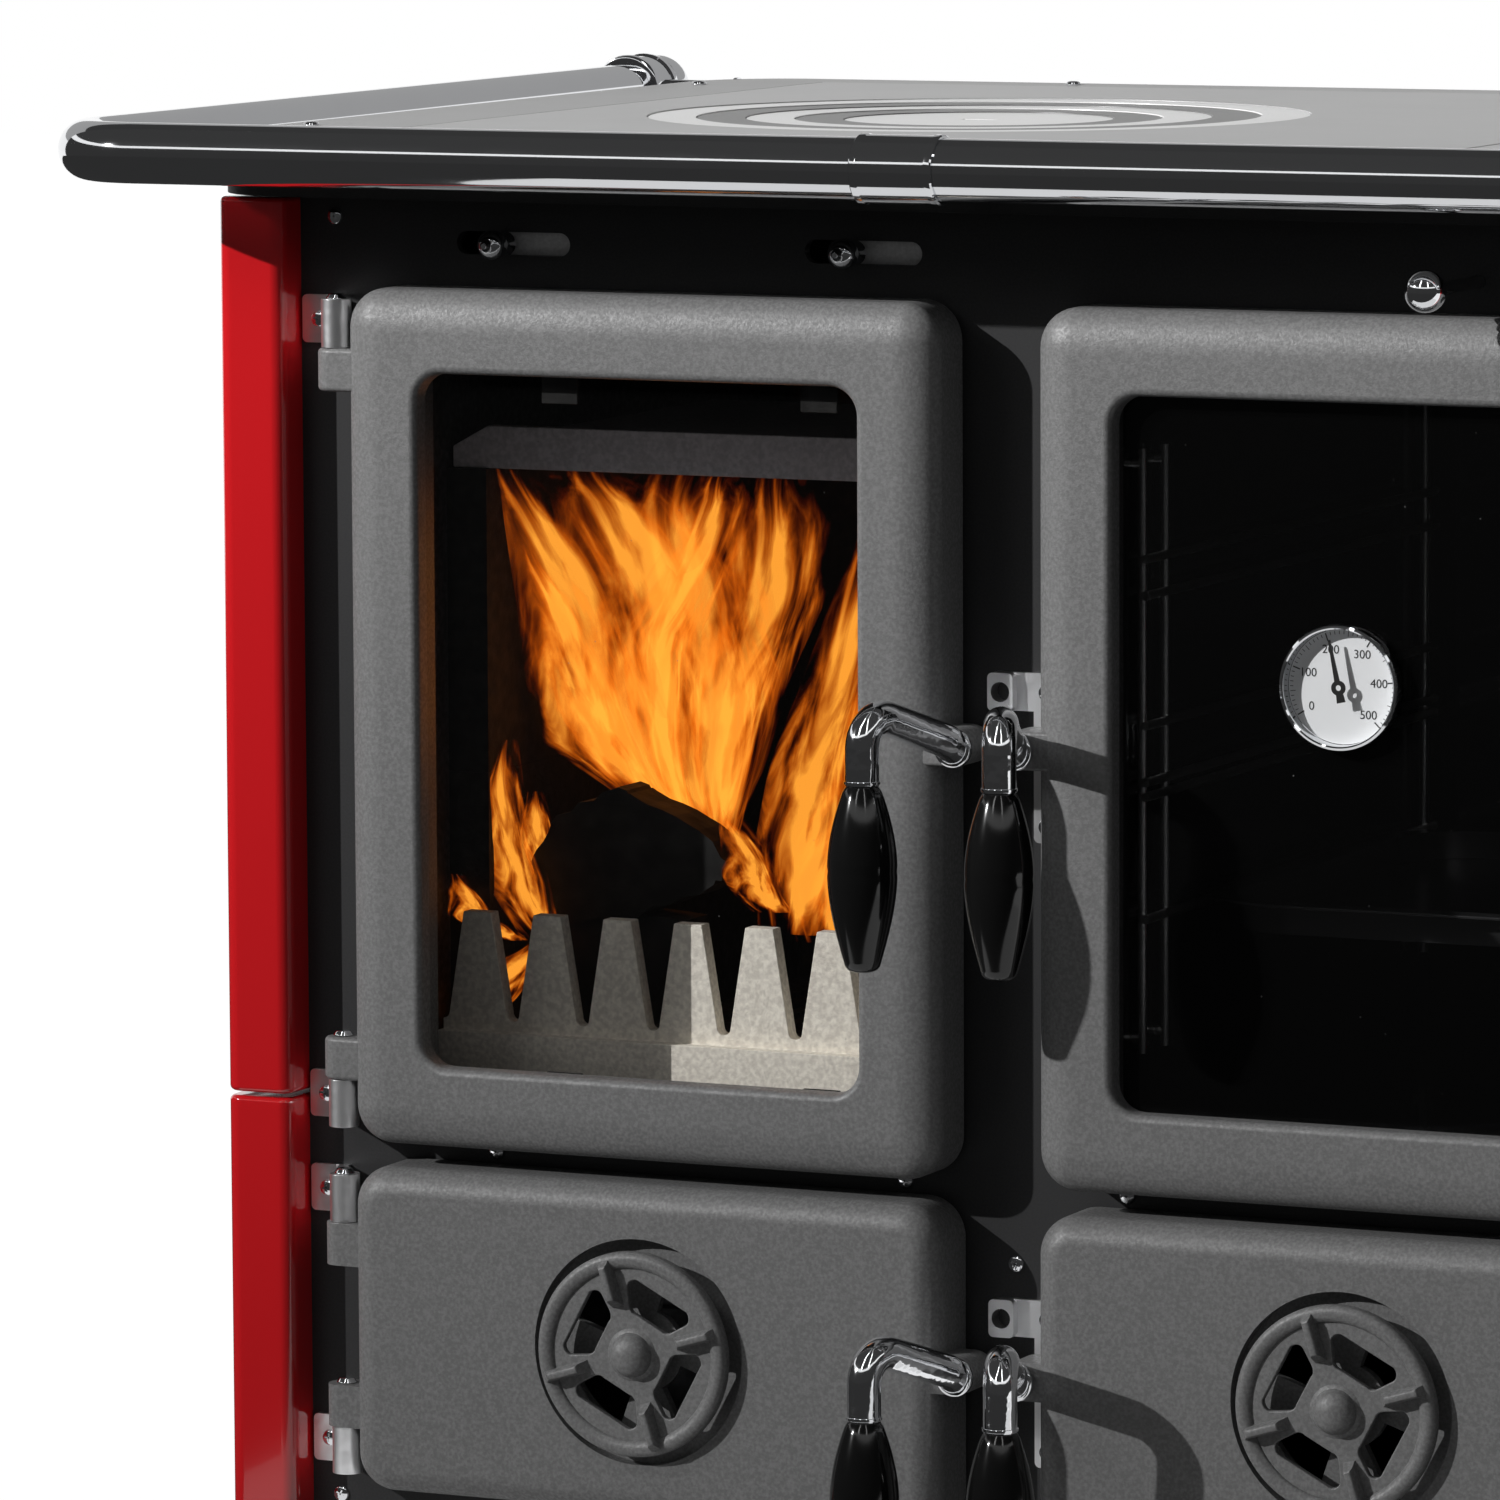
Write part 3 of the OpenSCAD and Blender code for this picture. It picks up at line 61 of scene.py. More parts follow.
MM = 0.001
FRONT_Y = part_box("front_frame")[0].y
HOB_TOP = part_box("main_plate")[1].z
SIDE_RIGHT = 1
SIDE_LEFT = -1
GAP = 0.3           # between pieces that slide or turn, in millimetres
UPRIGHT = Matrix.Rotation(math.radians(90), 4, "X")     # raises a flat shape to face front


def at(x, y, z):
    """A place in millimetres, with Y counted back from the front frame's face."""
    return Vector((x * MM, FRONT_Y + y * MM, z * MM))


def span(node):
    """The corners of a CAD node in millimetres, in at()'s own axes."""
    low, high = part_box(node)
    return [Vector((p.x / MM, (p.y - FRONT_Y) / MM, p.z / MM)) for p in (low, high)]


# ---------------------------------------------------------------- sizes and colours

class RangeSizes(bpy.types.PropertyGroup):
    """Sizes in millimetres, and the strength of the paint's grain"""
    door_border: bpy.props.FloatProperty(
        name="Door border", description="Width of the iron round a window", default=46.0)
    glass_lap: bpy.props.FloatProperty(
        name="Glass lap", description="How far the glass reaches behind the iron", default=10.0)
    door_corner: bpy.props.FloatProperty(
        name="Door corner", description="Radius of a door's corners", default=22.0)
    door_edge: bpy.props.FloatProperty(
        name="Door edge", description="Width of the soft edge round a door", default=24.0)
    edge_depth: bpy.props.FloatProperty(
        name="Edge depth", description="Depth of the soft edge round a door", default=15.0)
    window_corner: bpy.props.FloatProperty(
        name="Window corner", description="Radius of a window's corners", default=16.0)
    window_lip: bpy.props.FloatProperty(
        name="Window lip", description="Radius of the rounded lip of a window", default=4.5)
    rail_radius: bpy.props.FloatProperty(
        name="Rail radius", description="Radius of the towel rail", default=17.0)
    rail_bend: bpy.props.FloatProperty(
        name="Rail bend", description="Radius of the rail's two bends", default=50.0)
    neck_height: bpy.props.FloatProperty(
        name="Neck height", description="From a grip's top up to its arm's elbow", default=41.0)
    arm_radius: bpy.props.FloatProperty(
        name="Arm radius", description="Radius of a handle's chrome arm", default=9.3)
    grain_depth: bpy.props.FloatProperty(
        name="Grain depth", description="Strength of the paint's grain", default=0.5)


class RangeColours(bpy.types.PropertyGroup):
    """Colours of the iron, the enamel and the hob"""
    iron: bpy.props.FloatVectorProperty(
        name="Iron", description="Grey paint on the castings", size=4, subtype="COLOR",
        default=(0.165, 0.165, 0.165, 1))
    enamel: bpy.props.FloatVectorProperty(
        name="Enamel", description="Red enamel of the sides", size=4, subtype="COLOR",
        default=(0.6, 0.0095, 0.0135, 1))
    frame: bpy.props.FloatVectorProperty(
        name="Front frame", description="Black paint of the body", size=4, subtype="COLOR",
        default=(0.03, 0.03, 0.031, 1))
    plate: bpy.props.FloatVectorProperty(
        name="Hob plate", description="Ground hob plates", size=4, subtype="COLOR",
        default=(0.48, 0.48, 0.48, 1))
    band: bpy.props.FloatVectorProperty(
        name="Hob band", description="The hob's frame", size=4, subtype="COLOR",
        default=(0.46, 0.46, 0.46, 1))
    bright_ring: bpy.props.FloatVectorProperty(
        name="Bright ring", description="Light hob rings", size=4, subtype="COLOR",
        default=(0.95, 0.95, 0.94, 1))
    dark_ring: bpy.props.FloatVectorProperty(
        name="Dark ring", description="Dark hob rings", size=4, subtype="COLOR",
        default=(0.2, 0.2, 0.2, 1))


def sizes():
    return bpy.context.scene.range_sizes


def colours():
    return bpy.context.scene.range_colours


# ---------------------------------------------------------------- mesh making

def finish_piece(name, bm, body, material, replaces=(), sharp=35.0):
    """Turns a bmesh into a smooth-shaded piece that rides on a body."""
    bmesh.ops.remove_doubles(bm, verts=bm.verts, dist=1e-6)
    bmesh.ops.recalc_face_normals(bm, faces=bm.faces)
    mesh = bpy.data.meshes.new(name)
    bm.to_mesh(mesh)
    bm.free()
    return finish_mesh(name, mesh, body, material, replaces, sharp)


def finish_mesh(name, mesh, body, material, replaces=(), sharp=35.0, weighted=True):
    """Turns a mesh into a smooth-shaded piece that rides on a body."""
    for polygon in mesh.polygons:
        polygon.use_smooth = True
    mesh.set_sharp_from_angle(angle=math.radians(sharp))
    mesh.materials.clear()
    mesh.materials.append(material)
    piece = scene_object(name, mesh)
    if weighted:
        normals = piece.modifiers.new("Even shading", "WEIGHTED_NORMAL")
        normals.keep_sharp = True
    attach(piece, body)
    if replaces:
        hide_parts(*replaces)
    return piece


def bridge(bm, loops, closed=False):
    """Joins loops that have as many points each, in a ring if closed, else with end caps."""
    rows = [[bm.verts.new(p) for p in loop] for loop in loops]
    pairs = list(zip(rows, rows[1:]))
    if closed:
        pairs.append((rows[-1], rows[0]))
    for a, b in pairs:
        for k in range(len(a)):
            j = (k + 1) % len(a)
            bm.faces.new((a[k], a[j], b[j], b[k]))
    if not closed:
        bm.faces.new(rows[0])
        bm.faces.new(list(reversed(rows[-1])))


def turns(count):
    """Angles evenly round a full turn."""
    return [2 * math.pi * k / count for k in range(count)]


def inset_loop(slab, inset, corner, y, steps=10):
    """Rectangle with round corners that lies inset from a slab's (x0, x1, z0, z1)."""
    x0, x1, z0, z1 = slab[:4]
    shift = inset + corner
    points = []
    for cx, cz, start in ((x1 - shift, z1 - shift, 0), (x0 + shift, z1 - shift, 90),
                          (x0 + shift, z0 + shift, 180), (x1 - shift, z0 + shift, 270)):
        for k in range(steps + 1):
            turn = math.radians(start + 90 * k / steps)
            points.append(at(cx + corner * math.cos(turn), y, cz + corner * math.sin(turn)))
    return points


def arc_steps(width, count, depth=None):
    """(run, drop) pairs round a quarter ellipse, from a side to a face."""
    depth = width if depth is None else depth
    for k in range(count + 1):
        turn = math.radians(90 * k / count)
        yield width * (1 - math.cos(turn)), depth * (1 - math.sin(turn))


def lathe(bm, centre, axis, profile, segments=64):
    """Turns (radius, height) pairs about an axis through centre; both ends close."""
    axis = Vector(axis).normalized()
    side = axis.orthogonal().normalized()
    other = axis.cross(side)
    rows = []
    for radius, height in profile:
        base = centre + axis * height * MM
        if radius <= 1e-6:
            rows.append([bm.verts.new(base)])
            continue
        rows.append([bm.verts.new(base + (side * math.cos(t) + other * math.sin(t)) * radius * MM)
                     for t in turns(segments)])
    for a, b in zip(rows, rows[1:]):
        for k in range(segments):
            j = (k + 1) % segments
            if len(a) == 1 and len(b) == 1:
                continue
            if len(a) == 1:
                bm.faces.new((a[0], b[j], b[k]))
            elif len(b) == 1:
                bm.faces.new((a[k], a[j], b[0]))
            else:
                bm.faces.new((a[k], a[j], b[j], b[k]))
    for row in (rows[0], rows[-1]):
        if len(row) > 1:
            bm.faces.new(row)


def ring_shape(bm, centre, axis, profile, segments=48):
    """A closed ring whose section is the profile's (radius, height) pairs."""
    side = axis.orthogonal().normalized()
    other = axis.cross(side)
    loops = [[centre + axis * h * MM + (side * math.cos(t) + other * math.sin(t)) * r * MM
              for t in turns(segments)] for r, h in profile]
    bridge(bm, loops, closed=True)


def filleted(points, radii, steps=10):
    """A path through points whose inner corners are rounded."""
    path = [points[0]]
    for k in range(1, len(points) - 1):
        before, here, after = points[k - 1], points[k], points[k + 1]
        into = (here - before).normalized()
        out = (after - here).normalized()
        angle = into.angle(out)
        reach = radii[k - 1] * MM * math.tan(angle / 2)
        start, end = here - into * reach, here + out * reach
        inward = (out - into).normalized()
        centre = here + inward * (radii[k - 1] * MM / math.cos(angle / 2))
        arm = start - centre
        axis = arm.cross(end - centre).normalized()
        for s in range(steps + 1):
            path.append(centre + Matrix.Rotation(angle * s / steps, 3, axis) @ arm)
    path.append(points[-1])
    return path


def sweep(bm, path, radius, sides=32):
    """A round tube along a path."""
    loops = []
    normal = (path[1] - path[0]).orthogonal().normalized()
    for k, point in enumerate(path):
        ahead = path[min(k + 1, len(path) - 1)] - path[max(k - 1, 0)]
        tangent = ahead.normalized()
        normal = (normal - tangent * normal.dot(tangent)).normalized()
        across = tangent.cross(normal)
        loops.append([point + (normal * math.cos(t) + across * math.sin(t)) * radius * MM
                      for t in turns(sides)])
    bridge(bm, loops)


def eased_copy(name, node, body, material, width=1.0, segments=2, angle=30.0):
    """A CAD node's shape with its edges softened, standing for that node."""
    bm = bmesh.new()
    bm.from_mesh(frame["nodes"][node].data)
    bmesh.ops.remove_doubles(bm, verts=bm.verts, dist=2e-6)
    bmesh.ops.dissolve_limit(bm, angle_limit=math.radians(0.6), verts=bm.verts, edges=bm.edges)
    edges = [e for e in bm.edges if len(e.link_faces) == 2 and e.calc_face_angle(0) > math.radians(angle)]
    bmesh.ops.bevel(bm, geom=edges, offset=width * MM, offset_type="OFFSET", segments=segments,
                    profile=0.5, affect="EDGES", clamp_overlap=True)
    bmesh.ops.triangulate(bm, faces=[f for f in bm.faces if len(f.verts) > 4])
    mesh = bpy.data.meshes.new(name)
    bm.to_mesh(mesh)
    bm.free()
    return finish_mesh(name, mesh, body, material, (node,), sharp=40.0)


def second_finish(piece, material, chosen):
    """Gives the faces whose middle and normal are chosen another material."""
    piece.data.materials.append(material)
    for polygon in piece.data.polygons:
        if chosen(polygon.center, polygon.normal):
            polygon.material_index = 1


def dress(node, material):
    """Gives a CAD node that keeps its shape its material."""
    mesh = frame["nodes"][node].data
    mesh.materials.clear()
    mesh.materials.append(material)


def scene_object(name, data):
    obj = bpy.data.objects.new(name, data)
    bpy.context.scene.collection.objects.link(obj)
    return obj


def kept_mesh(name, carrier):
    """An object's evaluated shape as a plain mesh; the object goes."""
    mesh = bpy.data.meshes.new_from_object(carrier.evaluated_get(bpy.context.evaluated_depsgraph_get()))
    mesh.name = name
    bpy.data.objects.remove(carrier)
    return mesh


def baked(tree, seed, values):
    """The result of a Geometry Nodes tree on a seed mesh."""
    carrier = scene_object("seed", seed)
    modifier = carrier.modifiers.new("Repeat", "NODES")
    modifier.node_group = tree
    for item in tree.interface.items_tree:
        if item.in_out == "INPUT" and item.name in values:
            modifier[item.identifier] = values[item.name]
    return kept_mesh("baked", carrier)


def scene_mesh(name, bm):
    """An unshaded object made of a bmesh."""
    mesh = bpy.data.meshes.new(name)
    bm.to_mesh(mesh)
    bm.free()
    return scene_object(name, mesh)


# ---------------------------------------------------------------- node trees

def fill(tree, node, values):
    """Sets a node's inputs; a value that is a socket is linked instead."""
    for label, value in values.items():
        if isinstance(value, bpy.types.NodeSocket):
            tree.links.new(value, node.inputs[label])
        else:
            node.inputs[label].default_value = value


def add_node(tree, kind, values=None, **settings):
    """A new node with its own settings and its inputs filled."""
    node = tree.nodes.new(kind)
    for key, value in settings.items():
        setattr(node, key, value)
    fill(tree, node, values or {})
    return node


def maths(tree, operation, *values, clamp=False):
    """The result of a Math node on sockets and numbers."""
    node = add_node(tree, "ShaderNodeMath", dict(enumerate(values)), operation=operation, use_clamp=clamp)
    return node.outputs[0]


def noise(tree, vector, scale, detail=2.0, roughness=0.5, distortion=0.0):
    """The value of a noise texture."""
    values = {"Vector": vector, "Scale": scale, "Detail": detail, "Roughness": roughness,
              "Distortion": distortion}
    return add_node(tree, "ShaderNodeTexNoise", values).outputs["Fac"]


def remap(tree, value, low, high, start=0.0, end=1.0):
    """Spreads a value's start to end over low to high."""
    values = {"Value": value, "From Min": start, "From Max": end, "To Min": low, "To Max": high}
    return add_node(tree, "ShaderNodeMapRange", values).outputs["Result"]


def mixed_colour(tree, factor, low, high):
    mix = add_node(tree, "ShaderNodeMix", {"Factor": factor, "A": low, "B": high}, data_type="RGBA")
    return mix.outputs["Result"]


def bumped(tree, height, strength, distance):
    """A normal bent by a height; distance is in millimetres."""
    values = {"Height": height, "Strength": strength, "Distance": distance * MM}
    return add_node(tree, "ShaderNodeBump", values).outputs["Normal"]


def object_coords(tree):
    return add_node(tree, "ShaderNodeTexCoord").outputs["Object"]


def seen_rays(tree):
    """1 for camera, glossy and transmission rays, otherwise 0."""
    path = add_node(tree, "ShaderNodeLightPath").outputs
    either = maths(tree, "MAXIMUM", path["Is Camera Ray"], path["Is Glossy Ray"])
    return maths(tree, "MAXIMUM", either, path["Is Transmission Ray"])


def shader_group(name, inputs, outputs, build):
    """The shader group of that name, made once; build gives the sockets of its outputs."""
    if name in bpy.data.node_groups:
        return bpy.data.node_groups[name]
    tree = bpy.data.node_groups.new(name, "ShaderNodeTree")
    tree.interface.new_socket("Vector", in_out="INPUT", socket_type="NodeSocketVector")
    for label, default in inputs.items():
        socket = tree.interface.new_socket(label, in_out="INPUT", socket_type="NodeSocketFloat")
        socket.default_value = default
    for label in outputs:
        tree.interface.new_socket(label, in_out="OUTPUT", socket_type="NodeSocketFloat")
    given = add_node(tree, "NodeGroupInput").outputs
    add_node(tree, "NodeGroupOutput", build(tree, given))
    return tree


def grain_group():
    """Fine grain of cast and painted surfaces: a height for bumps and a speckle mask."""
    def build(tree, given):
        fine = noise(tree, given["Vector"], given["Grain size"], 3.0, 0.6)
        broad = noise(tree, given["Vector"], 60.0)
        spots = noise(tree, given["Vector"], maths(tree, "MULTIPLY", given["Grain size"], 0.55), 1.0)
        return {"Height": maths(tree, "MULTIPLY_ADD", broad, given["Waviness"], fine),
                "Speckle": remap(tree, spots, 0.0, 1.0, 0.35, 0.7)}

    return shader_group("Casting grain", {"Grain size": 900.0, "Waviness": 0.3}, ("Height", "Speckle"), build)


def smudge_group():
    """Soft smudges and dust: a mask from a broken noise."""
    def build(tree, given):
        cloud = noise(tree, given["Vector"], given["Scale"], 6.0, 0.65)
        return {"Mask": maths(tree, "MULTIPLY", remap(tree, cloud, 0.0, 1.0, 0.42, 0.72), given["Amount"])}

    return shader_group("Smudges", {"Scale": 8.0, "Amount": 0.5}, ("Mask",), build)


def use_group(tree, group, values):
    """The outputs of a shader group placed in a tree."""
    node = add_node(tree, "ShaderNodeGroup", node_tree=group)
    fill(tree, node, values)
    return node.outputs


def smudged(tree, coords, amount, scale=8.0):
    values = {"Vector": coords, "Scale": scale, "Amount": amount}
    return use_group(tree, smudge_group(), values)["Mask"]


# ---------------------------------------------------------------- materials

def grey(level):
    return (level, level, level, 1.0)


def shade(colour, factor):
    return tuple(min(1.0, c * factor) for c in colour[:3]) + (1.0,)


def new_material(name):
    material = bpy.data.materials.new(name)
    material.use_nodes = True
    tree = material.node_tree
    return material, tree, tree.nodes["Principled BSDF"]


def grained(name, colour, roughness, size, depth=None, distance=0.3, contrast=0.25, metallic=0.0,
            waviness=0.3, smudge=0.1, gloss=0.5):
    """Paint or bare iron with a fine grain in its height and colour."""
    material, tree, shader = new_material(name)
    coords = object_coords(tree)
    depth = sizes().grain_depth if depth is None else depth
    grain = use_group(tree, grain_group(), {"Vector": coords, "Grain size": size, "Waviness": waviness})
    speckle = grain["Speckle"]
    base = mixed_colour(tree, speckle, shade(colour, 1 - contrast), shade(colour, 1 + contrast))
    fill(tree, shader, {
        "Base Color": mixed_colour(tree, smudged(tree, coords, smudge), base, shade(colour, 1.25)),
        "Roughness": remap(tree, speckle, roughness + 0.08, roughness - 0.06),
        "Normal": bumped(tree, grain["Height"], depth, distance),
        "Metallic": metallic,
        "Specular IOR Level": gloss})
    return material


def polished(name, colour, roughness, smudge=0.25, metallic=1.0, coat=0.0, lumps=0.06, size=14.0):
    """Chrome, enamel or lacquer: smooth or lumpy, with faint smudges in its gloss."""
    material, tree, shader = new_material(name)
    coords = object_coords(tree)
    mask = smudged(tree, coords, smudge, 22.0)
    fill(tree, shader, {
        "Base Color": mixed_colour(tree, mask, shade(colour, 1.0), shade(colour, 0.93)),
        "Roughness": remap(tree, mask, roughness, roughness + 0.14),
        "Normal": bumped(tree, noise(tree, coords, size), lumps, 1.0),
        "Metallic": metallic,
        "Coat Weight": coat,
        "Coat Roughness": 0.04})
    return material


def ground_plate(name, colour, roughness, round_lay=False):
    """Ground hob plate: fine scratches along X, or round the rings' centre."""
    material, tree, shader = new_material(name)
    coords = object_coords(tree)
    if round_lay:
        low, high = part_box("centre_plug")
        middle = (low + high) / 2
        moved = add_node(tree, "ShaderNodeMapping", {"Vector": coords, "Location": (-middle.x, -middle.y, 0)})
        flat = add_node(tree, "ShaderNodeVectorMath", {0: moved.outputs["Vector"], 1: (1, 1, 0)},
                        operation="MULTIPLY")
        away = add_node(tree, "ShaderNodeVectorMath", {0: flat.outputs["Vector"]}, operation="LENGTH")
        lay = {"W": maths(tree, "MULTIPLY", away.outputs["Value"], 1400.0)}
    else:
        stretched = add_node(tree, "ShaderNodeMapping", {"Vector": coords, "Scale": (14, 1500, 40)})
        lay = {"Vector": stretched.outputs["Vector"]}
    scratches = add_node(tree, "ShaderNodeTexNoise", {"Detail": 4.0, "Scale": 1.0, **lay},
                         noise_dimensions="1D" if round_lay else "3D").outputs["Fac"]
    base = mixed_colour(tree, scratches, shade(colour, 0.86), shade(colour, 1.1))
    fill(tree, shader, {
        "Base Color": mixed_colour(tree, smudged(tree, coords, 0.35, 5.0), base, shade(colour, 0.78)),
        "Normal": bumped(tree, scratches, 0.12, 0.1),
        "Roughness": roughness,
        "Metallic": 0.08})
    return material


def clear_pane(name, colour, alpha):
    """Heat-proof glass with a little dust."""
    material, tree, shader = new_material(name)
    cells = add_node(tree, "ShaderNodeTexVoronoi", {"Vector": object_coords(tree), "Scale": 45.0})
    speck = remap(tree, cells.outputs["Distance"], 1.0, 0.0, 0.0, 0.028)
    fill(tree, shader, {
        "Base Color": mixed_colour(tree, speck, colour, grey(0.35)),
        "Alpha": remap(tree, speck, alpha, min(1.0, alpha + 0.5)),
        "Roughness": 0.02,
        "Specular IOR Level": 0.5})
    return material


CHROME = (0.8, 0.81, 0.83, 1)

# Maker, colour or the name of one of the user's colours, roughness (alpha for panes), other settings
FINISHES = {
    "grey_iron": (grained, "iron", 0.46, dict(size=950, distance=0.35, contrast=0.2, waviness=0.5)),
    "black_paint": (grained, "frame", 0.45, dict(size=1400, depth=0.12, contrast=0.12, gloss=0.25)),
    "raw_iron": (grained, (0.045, 0.042, 0.042, 1), 0.6,
                 dict(size=420, depth=0.7, distance=0.5, contrast=0.3)),
    "ash_iron": (grained, (0.88, 0.81, 0.71, 1), 0.75,
                 dict(size=620, depth=0.8, distance=0.5, contrast=0.16, smudge=0.15)),
    "sooty_brick": (grained, (0.008, 0.007, 0.006, 1), 0.9,
                    dict(size=200, depth=1.0, distance=1.0, contrast=0.4, smudge=0.5)),
    "foot_black": (grained, grey(0.02), 0.5, dict(size=1200, depth=0.1)),
    "sheet_steel": (grained, (0.42, 0.43, 0.44, 1), 0.35,
                    dict(size=300, depth=0.08, metallic=1.0, contrast=0.15)),
    "charcoal": (grained, (0.004, 0.0035, 0.003, 1), 0.9, dict(size=120, depth=0.6, distance=1.0)),
    # Painted light: the baffle's pale grey stands in for the light its lip catches; its iron is a dull dark
    # grey.
    "baffle_iron": (grained, (0.75, 0.69, 0.71, 1), 0.6, dict(size=700, depth=0.3, contrast=0.15)),
    "rope_seal": (grained, (0.55, 0.54, 0.5, 1), 0.9, dict(size=500, depth=1.0, distance=1.0)),
    # Painted reflection: the slide plates' mid grey stands in for the sheen of shiny plates that lie in
    # shade.
    "dark_slide": (grained, grey(0.5), 0.5, dict(size=900, depth=0.1, contrast=0.1)),
    "hob_side": (grained, grey(0.012), 0.5, dict(size=900, depth=0.1, contrast=0.1, gloss=0.2)),
    "red_enamel": (polished, "enamel", 0.12, dict(smudge=0.15, metallic=0.0, coat=0.6)),
    "dark_enamel": (polished, (0.012, 0.012, 0.014, 1), 0.2, dict(metallic=0.0, coat=0.3)),
    "tray_enamel": (polished, (0.16, 0.16, 0.165, 1), 0.22, dict(smudge=0.3, metallic=0.6)),
    "chrome": (polished, CHROME, 0.045, dict(smudge=0.2)),
    "lumpy_chrome": (polished, CHROME, 0.06, dict(smudge=0.3, lumps=0.55, size=75.0)),
    "satin_chrome": (polished, (0.95, 0.95, 0.96, 1), 0.34, dict(smudge=0.3, lumps=0.6, size=60.0)),
    "black_grip": (polished, grey(0.006), 0.1, dict(metallic=0.0)),
    "dial_white": (polished, (0.78, 0.79, 0.8, 1), 0.35, dict(metallic=0.0)),
    "dial_black": (polished, grey(0.01), 0.4, dict(metallic=0.0)),
    "hob_plate": (ground_plate, "plate", 0.34, dict()),
    "hob_band": (ground_plate, "band", 0.4, dict()),
    "ring_bright": (ground_plate, "bright_ring", 0.3, dict(round_lay=True)),
    "ring_dark": (ground_plate, "dark_ring", 0.36, dict(round_lay=True)),
    "clear_glass": (clear_pane, grey(0.01), 0.07, dict()),
    "dark_glass": (clear_pane, grey(0.004), 0.3, dict()),
}


def material(finish):
    """The finish of that name, made once."""
    name = "range_" + finish
    if name in bpy.data.materials:
        return bpy.data.materials[name]
    maker, colour, amount, settings = FINISHES[finish]
    if isinstance(colour, str):
        colour = getattr(colours(), colour)
    return maker(name, colour, amount, **settings)


# ---------------------------------------------------------------- doors

LEVER_X = 18.0      # spindles of the levers, from the body's middle
DOORS = {
    "firebox": ("firebox_door", SIDE_LEFT),
    "oven": ("oven_door", SIDE_RIGHT),
    "ash": ("ash_door", SIDE_LEFT),
    "store": ("store_door", SIDE_RIGHT),
}


def door_slab(node, side):
    """(x0, x1, z0, z1, front, back) of a door's plain slab, without ears and lug."""
    low, high = span(node)
    glass_low, glass_high = span("oven_glass")
    inner = glass_low.x + sizes().glass_lap - sizes().door_border
    outer = glass_high.x - sizes().glass_lap + sizes().door_border
    x0, x1 = sorted((side * inner, side * outer))
    return x0, x1, low.z, high.z, low.y, high.y


def door_skin(slab):
    """Loops from a door's back rim round its soft edge to the flat face."""
    front, back = slab[4:]
    corner = sizes().door_corner
    rim, least_corner = 2.0, 5.0
    loops = [inset_loop(slab, rim, corner - rim, back), inset_loop(slab, 0, corner, back - rim)]
    for run, drop in arc_steps(sizes().door_edge, 12, sizes().edge_depth):
        loops.append(inset_loop(slab, run, max(corner - run, least_corner), front + drop))
    return loops


def window_skin(slab, glass_depth):
    """Loops from the face round the window's lip and rebate to the back."""
    front, back = slab[4:]
    border, corner = sizes().door_border, sizes().window_corner
    rebate = border - sizes().glass_lap - GAP
    loops = [inset_loop(slab, border - run, corner + run, front + drop)
             for run, drop in reversed(list(arc_steps(sizes().window_lip, 5)))]
    loops += [inset_loop(slab, border, corner, front + glass_depth),
              inset_loop(slab, rebate, corner, front + glass_depth),
              inset_loop(slab, rebate, corner, back)]
    return loops


def stadium(cx, cz, radius, far, steps=12):
    """Outline of a round-ended tab in two axes: round about (cx, cz), square at far."""
    way = 1 if far > cx else -1
    points = []
    for k in range(steps + 1):
        turn = math.radians(90 + 180 * k / steps)
        points.append((cx + way * radius * math.cos(turn), cz + radius * math.sin(turn)))
    points.append((far, cz - radius))
    points.append((far, cz + radius))
    return points


def tab(bm, outline_of, low, high, place, soften=2.5):
    """A round-ended tab between two levels, its rims softened."""
    loops = [(run, low + drop) for run, drop in reversed(list(arc_steps(soften, 3)))]
    loops += [(run, high - drop) for run, drop in arc_steps(soften, 3)]
    bridge(bm, [[place(a, b, level) for a, b in outline_of(run)] for run, level in loops])


def add_ears(bm, side, z0, z1):
    """Hinge ears beside the door, round about their pins."""
    pin_low, pin_high = span("hinge_pins")
    pin_x = side * (pin_high.x - 6.0)
    pin_y = (pin_low.y + pin_high.y) / 2
    ear_h, ear_r, reach, inset, knuckle = 24.0, 10.3, 26.0, 7.0, 27.0
    inner = pin_x - side * reach
    for low in (z0 + inset + knuckle + GAP, z1 - inset - knuckle - GAP - ear_h):
        tab(bm, lambda run: stadium(pin_x, pin_y, ear_r - run, inner), low, low + ear_h, at)


def add_lug(bm, side, middle):
    """The lug at a door's free edge that carries its handle."""
    radius, root_x, front, back = 10.5, 38.0, -42.0, -15.0
    tab(bm, lambda run: stadium(side * LEVER_X, middle, radius - run, side * root_x), front, back,
        lambda a, b, level: at(a, level, b), soften=1.8)


class GlazedDoors(bpy.types.Operator):
    """Firebox and oven doors with rounded lips, hinge ears and handle lugs"""
    bl_idname = "range_cooker.glazed_doors"
    bl_label = "Glazed doors"

    def execute(self, context):
        for name in ("firebox", "oven"):
            node, side = DOORS[name]
            slab = door_slab(node, side)
            glass_depth = span("oven_glass")[0].y - slab[4] - 0.2
            bm = bmesh.new()
            bridge(bm, door_skin(slab) + window_skin(slab, glass_depth), closed=True)
            add_ears(bm, side, slab[2], slab[3])
            add_lug(bm, side, (slab[2] + slab[3]) / 2)
            finish_piece(name + "_door_casting", bm, node, material("grey_iron"), (node,))
        dress("firebox_glass", material("clear_glass"))
        dress("oven_glass", material("dark_glass"))
        dress("firebox_seal", material("rope_seal"))
        eased_copy("glass_clips", "firebox_clips", "firebox_door", material("charcoal"), 0.5)
        return {"FINISHED"}


